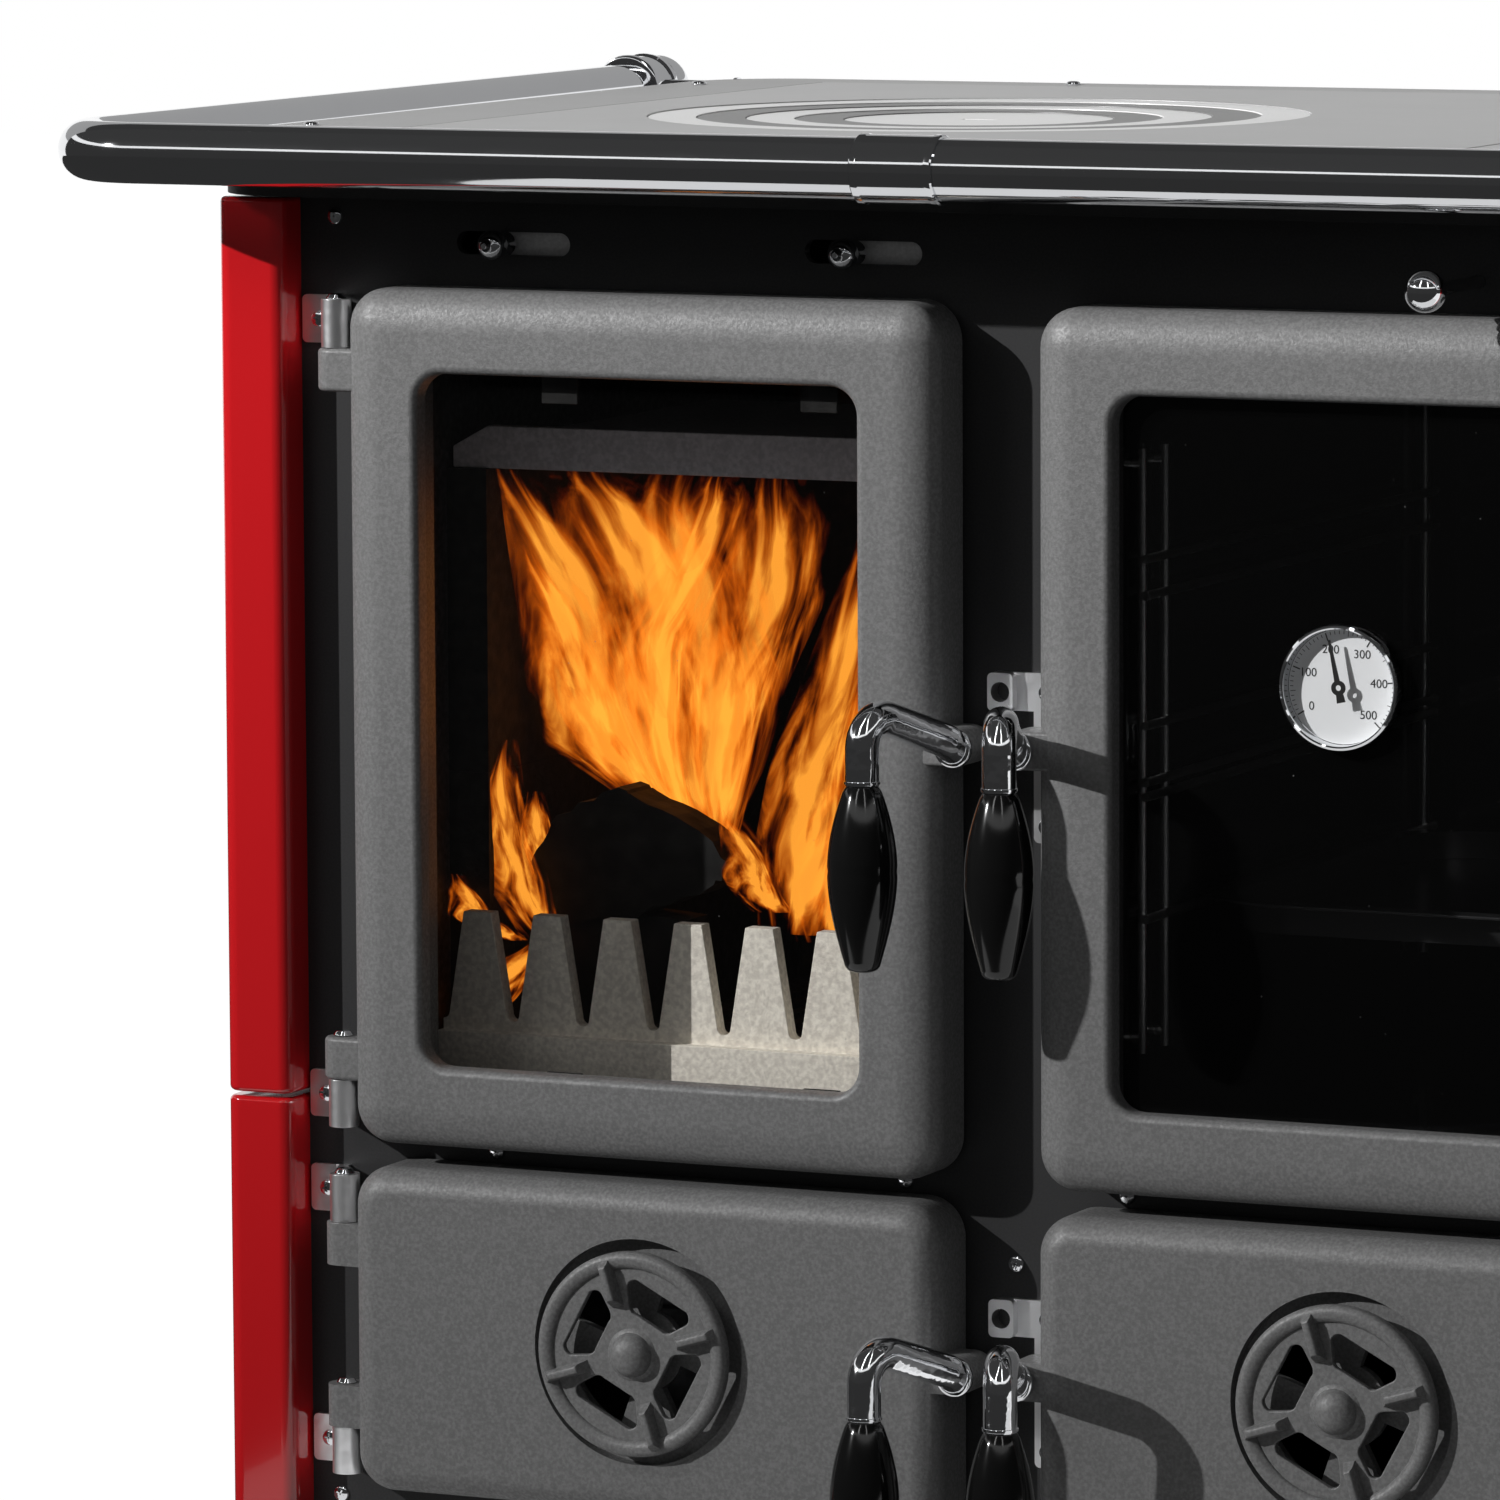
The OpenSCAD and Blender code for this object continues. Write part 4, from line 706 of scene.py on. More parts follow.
class VentedDoors(bpy.types.Operator):
    """Ash and store doors with their turning air registers"""
    bl_idname = "range_cooker.vented_doors"
    bl_label = "Vented doors"

    # (radius, depth) pairs: the rim's radii are counted from the disc's edge
    RIM = ((-9.5, 4.5), (-9.5, 0.2), (-8.4, -1.6), (-6.0, -3.0), (-3.2, -3.1), (-1.2, -2.2), (-0.2, -0.6),
           (0, 1.2), (0, 4.5))
    HUB = ((0, -1), (15.5, -1), (14.6, 0.2), (12.6, 1.2), (12.1, 3.4), (10.8, 6.0), (8.0, 8.3), (4.2, 9.4),
           (0, 9.6))
    # (depth, inner end, outer end from the disc's edge, half width) from a blade's root up to its crest
    BLADE = ((1.0, 27.0, -1.0, 3.9), (-0.6, 28.0, -1.5, 3.3), (-5.6, 31.0, -5.0, 2.7),
             (-7.4, 31.8, -6.0, 2.2), (-8.2, 33.0, -7.4, 1.2))

    def execute(self, context):
        for name in ("ash", "store"):
            node = DOORS[name][0]
            eased_copy(name + "_door_casting", node, node, material("grey_iron"), 1.6, 3, 50)
            self.air_disc(name)
        return {"FINISHED"}

    def air_disc(self, name):
        """Round plate with four windows, four short blades, a raised rim and a domed hub."""
        node = name + "_register"
        low, high = span(node)
        cx, cz = (low.x + high.x) / 2, (low.z + high.z) / 2
        radius = (high.x - low.x) / 2
        face, thick = low.y + 6.2, 4.5
        centre = at(cx, face, cz)
        shaft = high.y - face - thick
        bm = bmesh.new()
        bm.from_mesh(self.pierced_plate(radius - 4.0, thick))
        bm.transform(Matrix.Translation(at(cx, face + thick / 2, cz)) @ UPRIGHT)
        ring_shape(bm, centre, Vector((0, 1, 0)), [(radius + r, depth) for r, depth in self.RIM], 96)
        lathe(bm, centre, (0, -1, 0), self.HUB, 48)
        lathe(bm, at(cx, face + thick, cz), (0, 1, 0),
              [(0, 0), (4, 0), (4, shaft - 4), (9, shaft - 4), (9, shaft), (0, shaft)], 32)
        for k in range(4):
            turn = math.radians(17 + 90 * k)
            out, side = Vector((math.cos(turn), math.sin(turn))), Vector((-math.sin(turn), math.cos(turn)))
            loops = []
            for depth, inner, outer, half in self.BLADE:
                spots = [out * reach + side * across for reach, across in
                         ((radius + outer, half), (inner, half), (inner, -half), (radius + outer, -half))]
                loops.append([at(cx + spot.x, face + depth, cz + spot.y) for spot in spots])
            bridge(bm, loops)
        finish_piece(name + "_air_disc", bm, node, material("grey_iron"), (node,), 40)

    def pierced_plate(self, radius, thick):
        """A flat plate in X and Y with four round-cornered windows, its edges rolled."""
        roll = 0.9
        curve = bpy.data.curves.new("plate", "CURVE")
        curve.dimensions = "2D"
        curve.fill_mode = "BOTH"
        curve.extrude = (thick / 2 - roll) * MM
        curve.bevel_depth = roll * MM
        curve.bevel_resolution = 3
        outlines = [[(radius * math.cos(t), radius * math.sin(t)) for t in turns(96)]]
        inner, outer, half, corner = 22.0, 43.0, 19.0, 5.5
        mid = (inner + outer) / 2
        for k in range(4):
            middle = math.radians(62 + 90 * k)
            outline = []
            for sx, sz, start in ((1, 1, 0), (-1, 1, 90), (-1, -1, 180), (1, -1, 270)):
                for step in range(7):
                    turn = math.radians(start + 15 * step)
                    across = sx * (half - corner) + corner * math.cos(turn)
                    reach = mid + sz * (outer - mid - corner) + corner * math.sin(turn)
                    angle = middle - across / mid
                    outline.append((reach * math.cos(angle), reach * math.sin(angle)))
            outlines.append(outline)
        for outline in outlines:
            spline = curve.splines.new("POLY")
            spline.points.add(len(outline) - 1)
            for point, (x, z) in zip(spline.points, outline):
                point.co = (x * MM, z * MM, 0, 1)
            spline.use_cyclic_u = True
        return kept_mesh("plate", scene_object("plate", curve))


# ---------------------------------------------------------------- handles

class Handles(bpy.types.Operator):
    """Bent chrome arms with spindle grips"""
    bl_idname = "range_cooker.handles"
    bl_label = "Handles"

    COLLAR = ((0, 0), (10.3, 0), (10.8, 0.6), (10.8, 3.2), (10.2, 4), (9, 4.4), (0, 4.4))
    SEAM = ((0, 0), (9.2, 0), (9.9, 0.3), (9.9, 1.7), (9.2, 2.0), (0, 2.2))
    SPINDLE = ((0, 0), (5, 0), (5, 33.2), (0, 33.2))
    # (inset, corner, y) of the loops round a tongue, from its front to its back
    TONGUE = ((0.6, 1.5, -14.7), (0, 2, -14.1), (0, 2, -10.3), (0.6, 1.5, -9.7))

    def execute(self, context):
        for name, (node, side) in DOORS.items():
            low, high = span(name + "_grip")
            grip_x, reach, top = (low.x + high.x) / 2, (low.y + high.y) / 2, high.z
            slab_low, slab_high = span(node)
            middle = (slab_low.z + slab_high.z) / 2
            pivot_x = side * LEVER_X
            outward = Vector((0, -1, 0))
            bm = bmesh.new()
            knots = [at(pivot_x, -43.0, middle), at(pivot_x, -53.0, middle + 5.0),
                     at(grip_x, reach, top + sizes().neck_height), at(grip_x, reach, top)]
            sweep(bm, filleted(knots, [9.0, 15.0]), sizes().arm_radius)
            lathe(bm, at(pivot_x, -42.3, middle), outward, self.COLLAR, 40)
            lathe(bm, at(grip_x, reach, top + 2.4), (0, 0, -1), self.SEAM, 40)
            lathe(bm, at(pivot_x, -43, middle), -outward, self.SPINDLE, 24)
            x0, x1 = sorted((pivot_x - side * 13.0, pivot_x + side * 5.0))
            tongue = (x0, x1, middle - 6, middle + 6)
            bridge(bm, [inset_loop(tongue, inset, corner, y, 3) for inset, corner, y in self.TONGUE])
            finish_piece(name + "_handle_arm", bm, name + "_handle", material("lumpy_chrome"),
                         (name + "_lever",), 40)
            bm = bmesh.new()
            lathe(bm, at(grip_x, reach, top), (0, 0, -1), self.grip(top - low.z, (high.x - low.x) / 2), 64)
            finish_piece(name + "_handle_grip", bm, name + "_handle", material("black_grip"),
                         (name + "_grip",), 40)
        return {"FINISHED"}

    def grip(self, length, radius):
        """Profile of a grip: narrow neck, swollen middle with a fine groove, round foot."""
        profile = [(0, 0), (0.42 * radius, 0.0), (0.47 * radius, 0.6)]
        steps = 34
        for k in range(1, steps + 1):
            t = k / steps
            swell = radius * (0.5 + 0.5 * math.sin(math.pi * t ** 0.92))
            groove = 0.35 if abs(t - 0.47) < 0.5 / steps else 0.0
            profile.append((max(swell - groove, 0.48 * radius), 0.6 + (length - 3.6) * t))
        profile += [(0.42 * radius, length - 1.2), (0.3 * radius, length - 0.2), (0, length)]
        return profile


# ---------------------------------------------------------------- hinges, keepers, screws

def screw_tree():
    """Cross-head screw heads on points, turned by an attribute; ends realized."""
    tree = bpy.data.node_groups.new("Screw heads", "GeometryNodeTree")
    for label, way, kind in (("Geometry", "INPUT", "Geometry"), ("Head", "INPUT", "Object"),
                             ("Finish", "INPUT", "Material"), ("Geometry", "OUTPUT", "Geometry")):
        tree.interface.new_socket(label, in_out=way, socket_type="NodeSocket" + kind)
    given = add_node(tree, "NodeGroupInput").outputs
    points = add_node(tree, "GeometryNodeMeshToPoints", {"Mesh": given["Geometry"]})
    head = add_node(tree, "GeometryNodeObjectInfo", {"Object": given["Head"]})
    turn = add_node(tree, "GeometryNodeInputNamedAttribute", {"Name": "turn"}, data_type="FLOAT_VECTOR")
    place = add_node(tree, "GeometryNodeInstanceOnPoints", {
        "Points": points.outputs["Points"],
        "Instance": head.outputs["Geometry"],
        "Rotation": turn.outputs["Attribute"]})
    solid = add_node(tree, "GeometryNodeRealizeInstances", {"Geometry": place.outputs["Instances"]})
    paint = add_node(tree, "GeometryNodeSetMaterial", {
        "Geometry": solid.outputs["Geometry"],
        "Material": given["Finish"]})
    add_node(tree, "NodeGroupOutput", {"Geometry": paint.outputs["Geometry"]})
    return tree


def screw_head():
    """One pan head with a cross recess, its face up +Z."""
    profile = [(0, 0), (4.5, 0), (4.6, 0.5), (4.2, 1.4), (3.2, 2.0), (0, 2.2)]
    bm = bmesh.new()
    lathe(bm, Vector((0, 0, 0)), (0, 0, 1), profile, 28)
    for turn in (0, 90):
        place = Matrix.Translation((0, 0, 2.16 * MM)) @ Matrix.Rotation(math.radians(turn), 4, "Z")
        bar = Matrix.Diagonal((5.0 * MM, 0.9 * MM, 0.14 * MM, 1))
        bmesh.ops.create_cube(bm, size=1.0, matrix=place @ bar)
    mesh = bpy.data.meshes.new("screw_head")
    bm.to_mesh(mesh)
    bm.free()
    return bpy.data.objects.new("screw_head", mesh)


def node_islands(node):
    """The lowest and highest corner of each separate solid of a CAD node."""
    bm = bmesh.new()
    bm.from_mesh(frame["nodes"][node].data)
    bmesh.ops.remove_doubles(bm, verts=bm.verts, dist=2e-6)
    left = set(bm.verts)
    islands = []
    for first in bm.verts:
        if first not in left:
            continue
        left.remove(first)
        todo, group = [first], []
        while todo:
            vert = todo.pop()
            group.append(vert.co.copy())
            for edge in vert.link_edges:
                other = edge.other_vert(vert)
                if other in left:
                    left.remove(other)
                    todo.append(other)
        low = Vector([min(p[k] for p in group) for k in range(3)])
        high = Vector([max(p[k] for p in group) for k in range(3)])
        islands.append((low, high))
    bm.free()
    return islands


class HingesAndScrews(bpy.types.Operator):
    """Chrome hinge brackets, pins, latch keepers and cross-head screws"""
    bl_idname = "range_cooker.hinges_and_screws"
    bl_label = "Hinges and screws"

    def execute(self, context):
        satin, chrome = material("satin_chrome"), material("chrome")
        eased_copy("hinge_knuckles", "hinge_brackets", "root", satin, 1.0, 3, 40)
        eased_copy("pins", "hinge_pins", "root", chrome, 0.6, 2, 40)
        eased_copy("keepers", "latch_keepers", "root", satin, 0.9, 3, 40)
        head = screw_head()
        heads = baked(screw_tree(), self.screw_places(), {"Head": head, "Finish": chrome})
        finish_mesh("screw_heads", heads, "root", chrome, ("screws",))
        bpy.data.objects.remove(head)
        return {"FINISHED"}

    def screw_places(self):
        """A point for each screw: those in the hob face up, the others face front."""
        places, turned = [], []
        rng = random.Random(7)
        for low, high in node_islands("screws"):
            middle = (low + high) / 2
            if high.z - low.z < 12 * MM and low.z > HOB_TOP - 20 * MM:
                places.append(Vector((middle.x, middle.y, HOB_TOP)))
                turned.append((0, 0, rng.uniform(0, math.pi)))
            else:
                places.append(Vector((middle.x, low.y + 2.2 * MM, middle.z)))
                turned.append((math.pi / 2, rng.uniform(0, math.pi), 0))
        seed = bpy.data.meshes.new("screw_places")
        seed.from_pydata(places, [], [])
        turn = seed.attributes.new("turn", "FLOAT_VECTOR", "POINT")
        for point, value in zip(turn.data, turned):
            point.vector = value
        return seed


# ---------------------------------------------------------------- hob and rail

class Hob(bpy.types.Operator):
    """Hob frame, plates and lift-out rings with eased edges"""
    bl_idname = "range_cooker.hob"
    bl_label = "Hob"

    def execute(self, context):
        band = material("hob_band")
        surround = eased_copy("hob_surround", "hob_frame", "root", band, 1.6, 3, 50)
        second_finish(surround, material("hob_side"), lambda middle, normal: normal.z < 0.35)
        for node in ("main_plate", "side_plate"):
            eased_copy("hob_" + node, node, node, material("hob_plate"), 0.6, 2, 50)
        for k in range(1, 5):
            self.ring(k)
        eased_copy("hob_plug", "centre_plug", "centre_plug", material("ring_bright"), 0.5, 2, 50)
        return {"FINISHED"}

    def ring(self, k):
        """A flat ring on a thinner collar that hangs in the next larger ring."""
        node = "ring_%d" % k
        low, high = span(node)
        inner_low, inner_high = span("ring_%d" % (k + 1) if k < 4 else "centre_plug")
        outer_r = (high.x - low.x) / 2
        hole_r = (inner_high.x - inner_low.x) / 2 + GAP
        ease, ledge = 0.5, 5.0
        collar_r = outer_r - 5.4
        floor, top = low.z, high.z
        step = floor + 6.0
        profile = [(hole_r - ledge, floor), (collar_r, floor), (collar_r, step + 0.6), (outer_r, step + 0.6),
                   (outer_r, top - ease), (outer_r - ease * 0.3, top - ease * 0.3), (outer_r - ease, top),
                   (hole_r + ease, top), (hole_r + ease * 0.3, top - ease * 0.3), (hole_r, top - ease),
                   (hole_r, step), (hole_r - ledge, step)]
        bm = bmesh.new()
        ring_shape(bm, at((low.x + high.x) / 2, (low.y + high.y) / 2, 0), Vector((0, 0, 1)), profile, 128)
        finish, slot = ("ring_bright", "hob_steel") if k % 2 else ("ring_dark", "hob_dark")
        finish_piece("hob_ring_%d" % k, bm, node, material(finish), (node,))


class TowelRail(bpy.types.Operator):
    """Chrome towel rail with its sleeve and end fittings"""
    bl_idname = "range_cooker.towel_rail"
    bl_label = "Towel rail"

    def execute(self, context):
        low, high = span("towel_rail")
        radius = sizes().rail_radius
        x = high.x - radius
        y = low.y + radius
        z = (low.z + high.z) / 2
        bm = bmesh.new()
        path = filleted([at(-x, high.y, z), at(-x, y, z), at(x, y, z), at(x, high.y, z)],
                        [sizes().rail_bend] * 2, 20)
        sweep(bm, path, radius, 48)
        finish_piece("rail_tube", bm, "root", material("chrome"), ("towel_rail",), 50)
        back = span("rail_fittings")[1].y
        bm = bmesh.new()
        self.sleeve(bm, -22.0, y, z)
        for side in (SIDE_LEFT, SIDE_RIGHT):
            self.end_fitting(bm, side * x, back, z, side)
        finish_piece("rail_mounts", bm, "root", material("chrome"), ("rail_fittings",), 40)
        return {"FINISHED"}

    def sleeve(self, bm, x, y, z):
        """The tube over the front rail's joint, with beaded ends, and its post to the hob."""
        half, r = 24.0, sizes().rail_radius
        bead = [(r + 0.1, -half), (r + 1.2, -half), (r + 2.0, -half + 0.8), (r + 2.0, -half + 4),
                (r + 1.5, -half + 4.8)]
        other_bead = [(radius, -along) for radius, along in reversed(bead)]
        ring_shape(bm, at(x, y, z), Vector((1, 0, 0)), bead + other_bead)
        post = span("hob_frame")[0].y - y - r
        lathe(bm, at(x, y + r, z), (0, 1, 0),
              [(0, 0), (7, 0), (7, post - 5), (9, post - 4), (12, post - 3.2), (12, post), (0, post)], 32)

    def end_fitting(self, bm, x, back, z, side):
        """Collar, waist and domed cap on a side rail's end, and the post to the hob's corner."""
        r = sizes().rail_radius
        cap, collar, length = r + 4.0, r + 5.5, 32.0
        dome = back - cap
        waist = [(0, 0), (r - 1, 0), (r - 1, 5), (cap - 2.5, 5.2), (cap - 0.5, 6.2), (cap, 8), (cap, 15)]
        slopes = [math.radians(a) for a in range(0, 90, 8)]
        crown = [(cap * math.cos(t), 17 + cap * math.sin(t)) for t in slopes]
        lathe(bm, at(x, dome - 17, z), (0, 1, 0), waist + crown + [(0, 17 + cap)], 48)
        start = dome - 12 - length
        rim = [(r + 0.1, 0), (collar - 2, 0), (collar - 0.6, 0.6), (collar, 2), (collar, 6),
               (collar - 1.2, 7.4)]
        other_rim = [(radius, length - along) for radius, along in reversed(rim)]
        ring_shape(bm, at(x, start, z), Vector((0, 1, 0)), rim + other_rim)
        hob_high = span("hob_frame")[1]
        corner = 60.0
        mid = start + length / 2
        over = max(0.0, mid - (hob_high.y - corner))
        edge = hob_high.x - corner + math.sqrt(corner ** 2 - over ** 2)
        post = abs(x) - edge - r
        lathe(bm, at(side * edge, mid, z), (side, 0, 0),
              [(0, 0), (9, 0), (9, 2.2), (7, 3.6), (7, post), (0, post)], 32)


# ---------------------------------------------------------------- body, firebox, oven

class Carcase(bpy.types.Operator):
    """Body panels, enamelled cladding, plinth and flue"""
    bl_idname = "range_cooker.carcase"
    bl_label = "Carcase"

    def execute(self, context):
        black, enamel = material("black_paint"), material("red_enamel")
        for node in ("base_panel", "side_walls", "decks", "middle_wall", "back_panel", "plinth"):
            dress(node, black)
        eased_copy("front_plate", "front_frame", "root", black, 0.6, 2, 50)
        for side in ("left", "right"):
            for level in ("upper", "lower"):
                place = "_%s_%s" % (side, level)
                eased_copy("enamel" + place, "cladding" + place, "root", enamel, 3.0, 4, 60)
        eased_copy("flue_spigot", "flue_collar", "root", material("raw_iron"), 1.2, 2, 50)
        eased_copy("feet", "levelling_feet", "root", material("foot_black"), 0.8, 2, 40)
        return {"FINISHED"}


class Firebox(bpy.types.Operator):
    """Firebox lining, grate, fence, baffle and ash drawer"""
    bl_idname = "range_cooker.firebox"
    bl_label = "Firebox"

    def execute(self, context):
        dress("firebox_shell", material("raw_iron"))
        dress("fire_bricks", material("sooty_brick"))
        dress("fire_grate", material("raw_iron"))
        eased_copy("fence", "fire_fence", "root", material("ash_iron"), 1.6, 3, 40)
        # The baffle's pale finish is painted light, much lighter than the colour of its iron.
        eased_copy("baffle", "baffle_plate", "root", material("baffle_iron"), 0.8, 2, 40)
        eased_copy("drawer", "ash_drawer", "ash_drawer", material("sheet_steel"), 0.4, 2, 50)
        return {"FINISHED"}


class Oven(bpy.types.Operator):
    """Oven liner, guide wires and baking tray"""
    bl_idname = "range_cooker.oven"
    bl_label = "Oven"

    def execute(self, context):
        dress("oven_liner", material("dark_enamel"))
        dress("rack_guides", material("satin_chrome"))
        eased_copy("tray", "baking_tray", "baking_tray", material("tray_enamel"), 0.7, 3, 40)
        return {"FINISHED"}


class AirControls(bpy.types.Operator):
    """Air slides, damper rod and their chrome knobs"""
    bl_idname = "range_cooker.air_controls"
    bl_label = "Air controls"

    def execute(self, context):
        chrome = material("chrome")
        for side in ("left", "right"):
            node = "air_slide_" + side
            slide = eased_copy("air_knob_" + side, node, node, chrome, 0.5, 2, 40)
            # The slide plate's mid grey is a painted reflection that stands in for its sheen.
            second_finish(slide, material("dark_slide"), lambda middle, normal: middle.y > FRONT_Y - 0.4 * MM)
        eased_copy("damper_bar", "damper_rod", "damper", chrome, 0.5, 2, 40)
        eased_copy("damper_ball", "damper_knob", "damper", chrome, 0.5, 2, 40)
        return {"FINISHED"}


class Thermometer(bpy.types.Operator):
    """Round oven thermometer with a plain scale"""
    bl_idname = "range_cooker.thermometer"
    bl_label = "Thermometer"

    # Degrees of the scale's first and last mark, and how many parts lie between them
    FIRST, LAST, PARTS = 212.0, -45.0, 50

    def execute(self, context):
        low, high = span("thermometer")
        cx, cz = (low.x + high.x) / 2, (low.z + high.z) / 2
        radius = (high.x - low.x) / 2
        dial = low.y + 7.8
        bm = bmesh.new()
        profile = [(0, 35), (5.3, 35), (5.3, 13.2), (10, 13.1), (10, 9.2), (radius - 2, 9), (radius, 7.5),
                   (radius, 2), (radius - 0.6, 0.7), (radius - 1.8, 0), (radius - 2.6, 0.6), (radius - 3, 2),
                   (radius - 3, 8.0), (0, 8.0)]
        lathe(bm, at(cx, low.y, cz), (0, 1, 0), profile, 72)
        finish_piece("thermometer_case", bm, "oven_door", material("chrome"), ("thermometer",), 30)
        bm = bmesh.new()
        lathe(bm, at(cx, dial, cz), (0, 1, 0), [(0, 0), (radius - 3.2, 0), (radius - 3.2, 0.15), (0, 0.15)])
        finish_piece("thermometer_dial", bm, "oven_door", material("dial_white"), (), 30)
        self.ticks(cx, cz, dial - 0.12, radius - 4)
        self.numbers(cx, cz, dial - 0.12, radius - 13.2)
        dress("thermometer_needle", material("dial_black"))
        return {"FINISHED"}

    def bearing(self, part):
        return math.radians(self.FIRST + (self.LAST - self.FIRST) * part / self.PARTS)

    def ticks(self, cx, cz, y, radius):
        """Marks round the scale, longer at each fifth and tenth."""
        bm = bmesh.new()
        for k in range(self.PARTS + 1):
            turn = self.bearing(k)
            long = 4.2 if k % 10 == 0 else (3.0 if k % 5 == 0 else 1.8)
            wide = 0.35 if k % 10 == 0 else 0.18
            out = Vector((math.cos(turn), math.sin(turn)))
            side = Vector((-out.y, out.x))
            corners = [out * radius - side * wide, out * radius + side * wide,
                       out * (radius - long) + side * wide, out * (radius - long) - side * wide]
            bm.faces.new([bm.verts.new(at(cx + c.x, y, cz + c.y)) for c in corners])
        mesh = bpy.data.meshes.new("ticks")
        bm.to_mesh(mesh)
        bm.free()
        self.print_on_dial("thermometer_ticks", mesh)

    def numbers(self, cx, cz, y, reach):
        """A number at each tenth mark."""
        for k in range(6):
            turn = self.bearing(10 * k)
            text = bpy.data.curves.new("number", "FONT")
            text.body = str(100 * k)
            text.size = 6.6 * MM
            text.align_x = "CENTER"
            text.align_y = "CENTER"
            mesh = kept_mesh("number", scene_object("number", text))
            centre = at(cx + reach * math.cos(turn), y, cz + reach * math.sin(turn))
            mesh.transform(Matrix.Translation(centre) @ UPRIGHT)
            self.print_on_dial("thermometer_number_%d" % (100 * k), mesh)

    def print_on_dial(self, name, mesh):
        finish_mesh(name, mesh, "oven_door", material("dial_black"), weighted=False)


# ---------------------------------------------------------------- fire

def flame_material():
    """Glowing flame: bright core, torn edges, streaks along its length."""
    name = "flame"
    if name in bpy.data.materials:
        return bpy.data.materials[name]
    material, tree, shader = new_material(name)
    uv = add_node(tree, "ShaderNodeUVMap", uv_map="along").outputs["UV"]
    split = add_node(tree, "ShaderNodeSeparateXYZ", {"Vector": uv}).outputs
    across, along = split["X"], split["Y"]
    stretch = add_node(tree, "ShaderNodeMapping", {"Vector": uv, "Scale": (1.5, 1.2, 1.0)})
    place = add_node(tree, "ShaderNodeVectorMath", {0: stretch.outputs["Vector"], 1: object_coords(tree)},
                     operation="ADD")
    streaks = noise(tree, place.outputs["Vector"], 1.6, 5.0, distortion=2.2)
    aside = maths(tree, "ABSOLUTE", maths(tree, "MULTIPLY_ADD", across, 2.0, -1.0))
    tip = maths(tree, "MULTIPLY", maths(tree, "SUBTRACT", 1.0, along), 4.0, clamp=True)
    foot = maths(tree, "MULTIPLY", along, 9.0, clamp=True)
    body = maths(tree, "MULTIPLY", maths(tree, "MULTIPLY", maths(tree, "SUBTRACT", 1.0, aside), tip), foot)
    torn = maths(tree, "MULTIPLY_ADD", maths(tree, "SUBTRACT", streaks, 0.5), 2.3, body)
    cooler = maths(tree, "MULTIPLY_ADD", along, -0.5, 1.3)
    heat = maths(tree, "MULTIPLY", torn, cooler, clamp=True)
    ramp = add_node(tree, "ShaderNodeValToRGB", {"Fac": heat})
    colours = ramp.color_ramp.elements
    colours[0].position = 0.12
    colours[0].color = (0.28, 0.02, 0.0, 1)
    colours[1].position = 0.95
    colours[1].color = (1.0, 0.36, 0.035, 1)
    colours.new(0.5).color = (0.85, 0.15, 0.004, 1)
    fill(tree, shader, {
        "Base Color": grey(0.0),
        "Specular IOR Level": 0.0,
        "Emission Strength": remap(tree, seen_rays(tree), 0.04, 1.6),
        "Emission Color": ramp.outputs["Color"],
        "Alpha": maths(tree, "MULTIPLY", maths(tree, "POWER", heat, 1.3), 0.72, clamp=True)})
    return material


def flame_tongue(name, knots, rng):
    """One wavy sheet of flame along (x, y, z, width) knots from its foot to its tip."""
    bm = bmesh.new()
    uv = bm.loops.layers.uv.new("along")
    rows, cols = 24, 6
    phase = rng.uniform(0, 6.28)
    grid = []
    for r in range(rows + 1):
        t = r / rows
        place = t * (len(knots) - 1)
        k = min(int(place), len(knots) - 2)
        x, y, z, width = [a + (b - a) * (place - k) for a, b in zip(knots[k], knots[k + 1])]
        x += 0.09 * width * math.sin(phase + 7.0 * t)
        spots = [at(x + 0.62 * width * (2 * c / cols - 1), y + 3 * math.sin(phase + 4 * t + c), z)
                 for c in range(cols + 1)]
        grid.append([(bm.verts.new(spot), c / cols, t) for c, spot in enumerate(spots)])
    for a, b in zip(grid, grid[1:]):
        for c in range(cols):
            quad = (a[c], a[c + 1], b[c + 1], b[c])
            face = bm.faces.new([q[0] for q in quad])
            for loop, q in zip(face.loops, quad):
                loop[uv].uv = (q[1], q[2])
    tongue = scene_mesh(name, bm)
    tongue.data.materials.append(flame_material())


